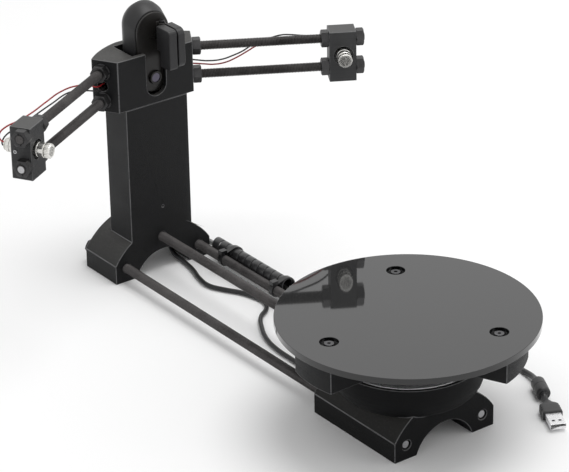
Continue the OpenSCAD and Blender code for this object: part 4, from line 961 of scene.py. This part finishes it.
# %% Barrels, focus rings and lenses
for side, word in ((-1, "left"), (1, "right")):
    bm = bmesh.new()
    turned(bm, [(2.6, -16.3), (4.45, -16.3), (4.5, -16.1), (4.5, -12.9), (5.6, -12.9), (5.95, -12.5), (5.95, -8.4),
                (5.6, -8.1), (5.6, -7.5), (5.95, -7.2), (5.95, 15.6), (5.7, 15.9), (5.7, 16.6), (5.95, 16.9),
                (5.95, 19.3), (5.5, 19.8), (2.6, 19.8)])
    carry(bm, barrel_matrix(side))
    finish_piece(bm, "laser_barrel_" + word + "_turned",
                 [laser_metal], ["laser_barrel_" + word], body="laser_" + word, sharp=30)

    bm = bmesh.new()
    steps = [(circle(3.3), -17.2), (circle(4.1), -17.9), (circle(5.4), -17.9), (circle(5.55), -17.6),
             (knurl, -17.3), (knurl, -14.0), (circle(5.55), -13.7), (circle(5.3), -13.4), (circle(4.6), -13.4),
             (circle(4.6), -16.0), (circle(3.3), -16.4)]
    tube_of(bm, [ring(bm, shape, z, 120) for shape, z in steps], closed=True)
    carry(bm, barrel_matrix(side))
    finish_piece(bm, "laser_focus_ring_" + word + "_knurled",
                 [laser_metal], ["laser_focus_ring_" + word], body="focus_" + word, sharp=30)

    bm = bmesh.new()
    tube_of(bm, [ring(bm, circle(r), z, 32) for r, z in
                 ((3.25, -16.7), (3.25, -17.2), (2.6, -17.42), (1.7, -17.58), (0.7, -17.66))])
    carry(bm, barrel_matrix(side))
    finish_piece(bm, "laser_lens_" + word + "_domed",
                 [lens_glass], ["laser_lens_" + word], body="focus_" + word, sharp=60)
    softened("laser_tail_" + word, connector_white, 0.3, body="laser_" + word)
softened("laser_set_screws", screw_steel, 0.15)

# %% [markdown]
# ### The lasers' thin leads
# A red and a black lead leave each laser's tail, follow the upper rods loosely and go down a hole in the head
# block. They are held at both ends, so they are part of the machine and not free cords. One smooth curve through
# the drawing's points gives their gentle sag.

# %% Laser leads
into_near_hole = [(27, 3.5, 169.5), (22.5, -2.5, 161), (22, -4, 152), (22, -4, 146.2)]
into_far_hole = [(35, 0, 170.6), (27, 0, 164.5), (24.6, -4.5, 159), (24.4, -5.4, 152), (24.4, -5.4, 146.2)]
lead_routes = {
    ("red", "left"): [
        (176.9, 22, 174.5), (176.9, 24, 174.7), (176.9, 26, 175.8), (176.9, 27.2, 178.2), (176.4, 26.6, 181.6),
        (173.6, 23, 185.6), (166, 17, 188.2), (150, 13.4, 188.8), (126, 12, 189.2), (100, 12, 187.8),
        (80, 9, 185), (66, 5, 180.5), (57, 1.5, 176.3), (46, 1, 175.5), (35, 2, 173.8)] + into_near_hole,
    ("black", "left"): [
        (176.9, 22, 171.5), (176.6, 24, 171.5), (175.2, 25.9, 172.3), (173, 26.1, 174.6), (170.4, 24.2, 177.8),
        (165.6, 19.8, 181), (156, 15.4, 182.8), (142, 14, 183.8), (121, 10.5, 185.5), (92, 8.5, 184.5),
        (70, 5, 177.5), (57, 0.5, 173.2), (46, -1, 172.8)] + into_far_hole,
    ("red", "right"): [
        (176.9, 22, 171.5), (176.7, 24, 171.5), (175.4, 25.9, 171.6), (172.8, 26.6, 172.1), (168, 24.8, 173.4),
        (155, 18, 177.4), (135, 15, 182.3), (118, 13.2, 182), (105, 11, 179), (99, 10, 176), (88.7, 9, 170.8),
        (79.6, 8, 167.5), (70, 7, 166.7), (61, 3.5, 169), (54, -1, 171.7), (46, -1.5, 172.5)] + into_far_hole,
    ("black", "right"): [
        (176.9, 22, 174.5), (176.7, 24.1, 174.6), (175.6, 26.1, 175.2), (173, 27.2, 176.6), (168, 25, 179.6),
        (158, 18, 182.6), (145, 14, 185), (133, 12.2, 187.2), (127, 12, 187.4), (118, 12, 185.4),
        (103, 10.5, 181), (93.5, 9, 176), (86, 8, 173.3), (77, 6, 171.3), (65, 3, 171.8), (54, 0.5, 174.3),
        (46, 1, 175.3), (35, 2.5, 174)] + into_near_hole,
}
for (colour, word), points in lead_routes.items():
    side = -1 if word == "left" else 1
    lead, _ = lead_curve(colour + "_lead_" + word, [tuple(on_arm(side, *point)) for point in points], 1.3,
                         red_lead if colour == "red" else black_lead, sides=3)
    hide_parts(colour + "_leads")

# %% [markdown]
# ## Camera of the machine
# The machine's own camera stands upright in front of the head block: a rounded shell, a glossy front plate, a lens
# barrel and two clip plates on a hinge pin. Its parts come over from CAD with generous rounded edges.

# %% Camera of the machine
softened("camera_shell", camera_plastic, 0.6, sharp=40)
softened("camera_front", camera_gloss, 0.5, segments=3)
softened("camera_lens_barrel", camera_gloss, 0.3)
softened("camera_lens", lens_glass, 0.2)
softened("camera_board", board_green, 0.1)
softened("clip_left", camera_plastic, 0.7, body="clip_leaf_left", segments=3)
softened("clip_right", camera_plastic, 0.7, body="clip_leaf_right", segments=3)
softened("clip_pin", black_screw, 0.2)
softened("head_screws", black_screw, 0.2)

# %% [markdown]
# ## Electronics in the column
# The open back of the column shows a controller board with its terminals, headers, a motor driver with a small heat
# sink, and the socket of the lead. They keep the drawing's shapes with lacquer, tin and plastic finishes.

# %% Electronics
softened("controller_board", board_blue, 0.15)
softened("driver_board", board_green, 0.1)
softened("heat_sink", motor_aluminium, 0.12)
# The socket shares the pale steel whose brightness is a painted sheen.
softened("usb_socket", bearing_steel, 0.3)
softened("reset_button", connector_white, 0.3, body="button")
softened("board_screws", screw_steel, 0.15)

# %% [markdown]
# ### Small parts on the boards
# A board with only its large blocks looks like a toy. Rows of pins, the legs of the flat chip, two capacitors and
# screws in the terminals are what the eye expects. They are many small boxes and turned shapes in one bmesh, with a
# material for each kind, because none of them moves by itself.


# %% Helper: a small box
def small_box(bm, low, high, material=0, edge=0.06):
    """A box between two corners, with broken edges."""
    part = bmesh.new()
    bmesh.ops.create_cube(part, size=1)
    bmesh.ops.scale(part, vec=[b - a for a, b in zip(low, high)], verts=part.verts)
    bmesh.ops.translate(part, vec=[(a + b) / 2 for a, b in zip(low, high)], verts=part.verts)
    if edge:
        bmesh.ops.bevel(part, geom=list(part.edges), offset=edge, segments=1, profile=0.5, affect="EDGES",
                        material=-1)
    for face in part.faces:
        face.material_index = material
    merge(bm, part)


# %% Pins, legs, capacitors and terminal screws
BOARD_FACE = 342.6
HEADER_PITCH, CHIP_PITCH, DRIVER_PITCH, RESISTOR_PITCH = 2.54, 1.25, 2.5, 3.2
DRIVER_FACE, TERMINAL_TOP = 352.1, 351.98
TERMINAL_SCREWS = [(side * 16.6, z) for side in (-1, 1) for z in (136.4, 140.0, 143.6)]
BLACK, TIN, GOLD = 0, 1, 2
bm = bmesh.new()
for k in range(9):
    step = 107.0 + CHIP_PITCH * k
    for x in (-4.9, 8.0):
        small_box(bm, (x, BOARD_FACE, step - 0.2), (x + 0.9, BOARD_FACE + 0.7, step + 0.2), TIN, 0)
    for z in (105.1, 118.0):
        small_box(bm, (step - 110.2, BOARD_FACE, z), (step - 109.8, BOARD_FACE + 0.7, z + 0.9), TIN, 0)
for z, first, count in ((124.5, -19.5, 12), (129.0, -19.5, 12), (99.0, 12.0, 4)):
    for k in range(count):
        x = first + HEADER_PITCH * k
        small_box(bm, (x - 1.22, BOARD_FACE, z - 1.25), (x + 1.22, BOARD_FACE + 2.4, z + 1.25), BLACK, 0.25)
        small_box(bm, (x - 0.32, BOARD_FACE + 2.3, z - 0.32), (x + 0.32, BOARD_FACE + 7.4, z + 0.32), GOLD)
for k in range(8):
    z = 101.4 + DRIVER_PITCH * k
    for x in (-16.75, -4.25):
        small_box(bm, (x - 0.3, DRIVER_FACE, z - 0.3), (x + 0.3, DRIVER_FACE + 0.9, z + 0.3), GOLD)
for k in range(5):
    z = 104.0 + RESISTOR_PITCH * k
    small_box(bm, (11.5, BOARD_FACE, z - 0.6), (13.5, BOARD_FACE + 0.6, z + 0.6), BLACK)
    for x in (11.1, 13.4):
        small_box(bm, (x, BOARD_FACE, z - 0.62), (x + 0.5, BOARD_FACE + 0.62, z + 0.62), TIN, 0)
for x, z in TERMINAL_SCREWS:
    small_box(bm, (x - 0.25, TERMINAL_TOP + 0.22, z - 1.3), (x + 0.25, TERMINAL_TOP + 0.34, z + 1.3), BLACK, 0)
finish_piece(bm, "board_small_parts", [socket_black, screw_steel, cage_brass])

bm = bmesh.new()
CAN = [(2.9, 0), (3.15, 0.3), (3.15, 1.0), (2.95, 1.3), (3.15, 1.6), (3.15, 6.6), (2.9, 6.95), (0.4, 6.95)]
SCREW_HEAD = [(1.55, 0), (1.55, 0.15), (1.4, 0.25), (0.3, 0.25)]
for profile, segments, y, places in ((CAN, 32, BOARD_FACE, ((19.0, 103.5), (19.0, 112.0))),
                                     (SCREW_HEAD, 24, TERMINAL_TOP, TERMINAL_SCREWS)):
    for x, z in places:
        part = bmesh.new()
        turned(part, profile, segments)
        carry(part, Matrix.Translation((x, y, z)) @ UP_TO_BACK)
        merge(bm, part)
finish_piece(bm, "board_capacitors", [motor_aluminium])
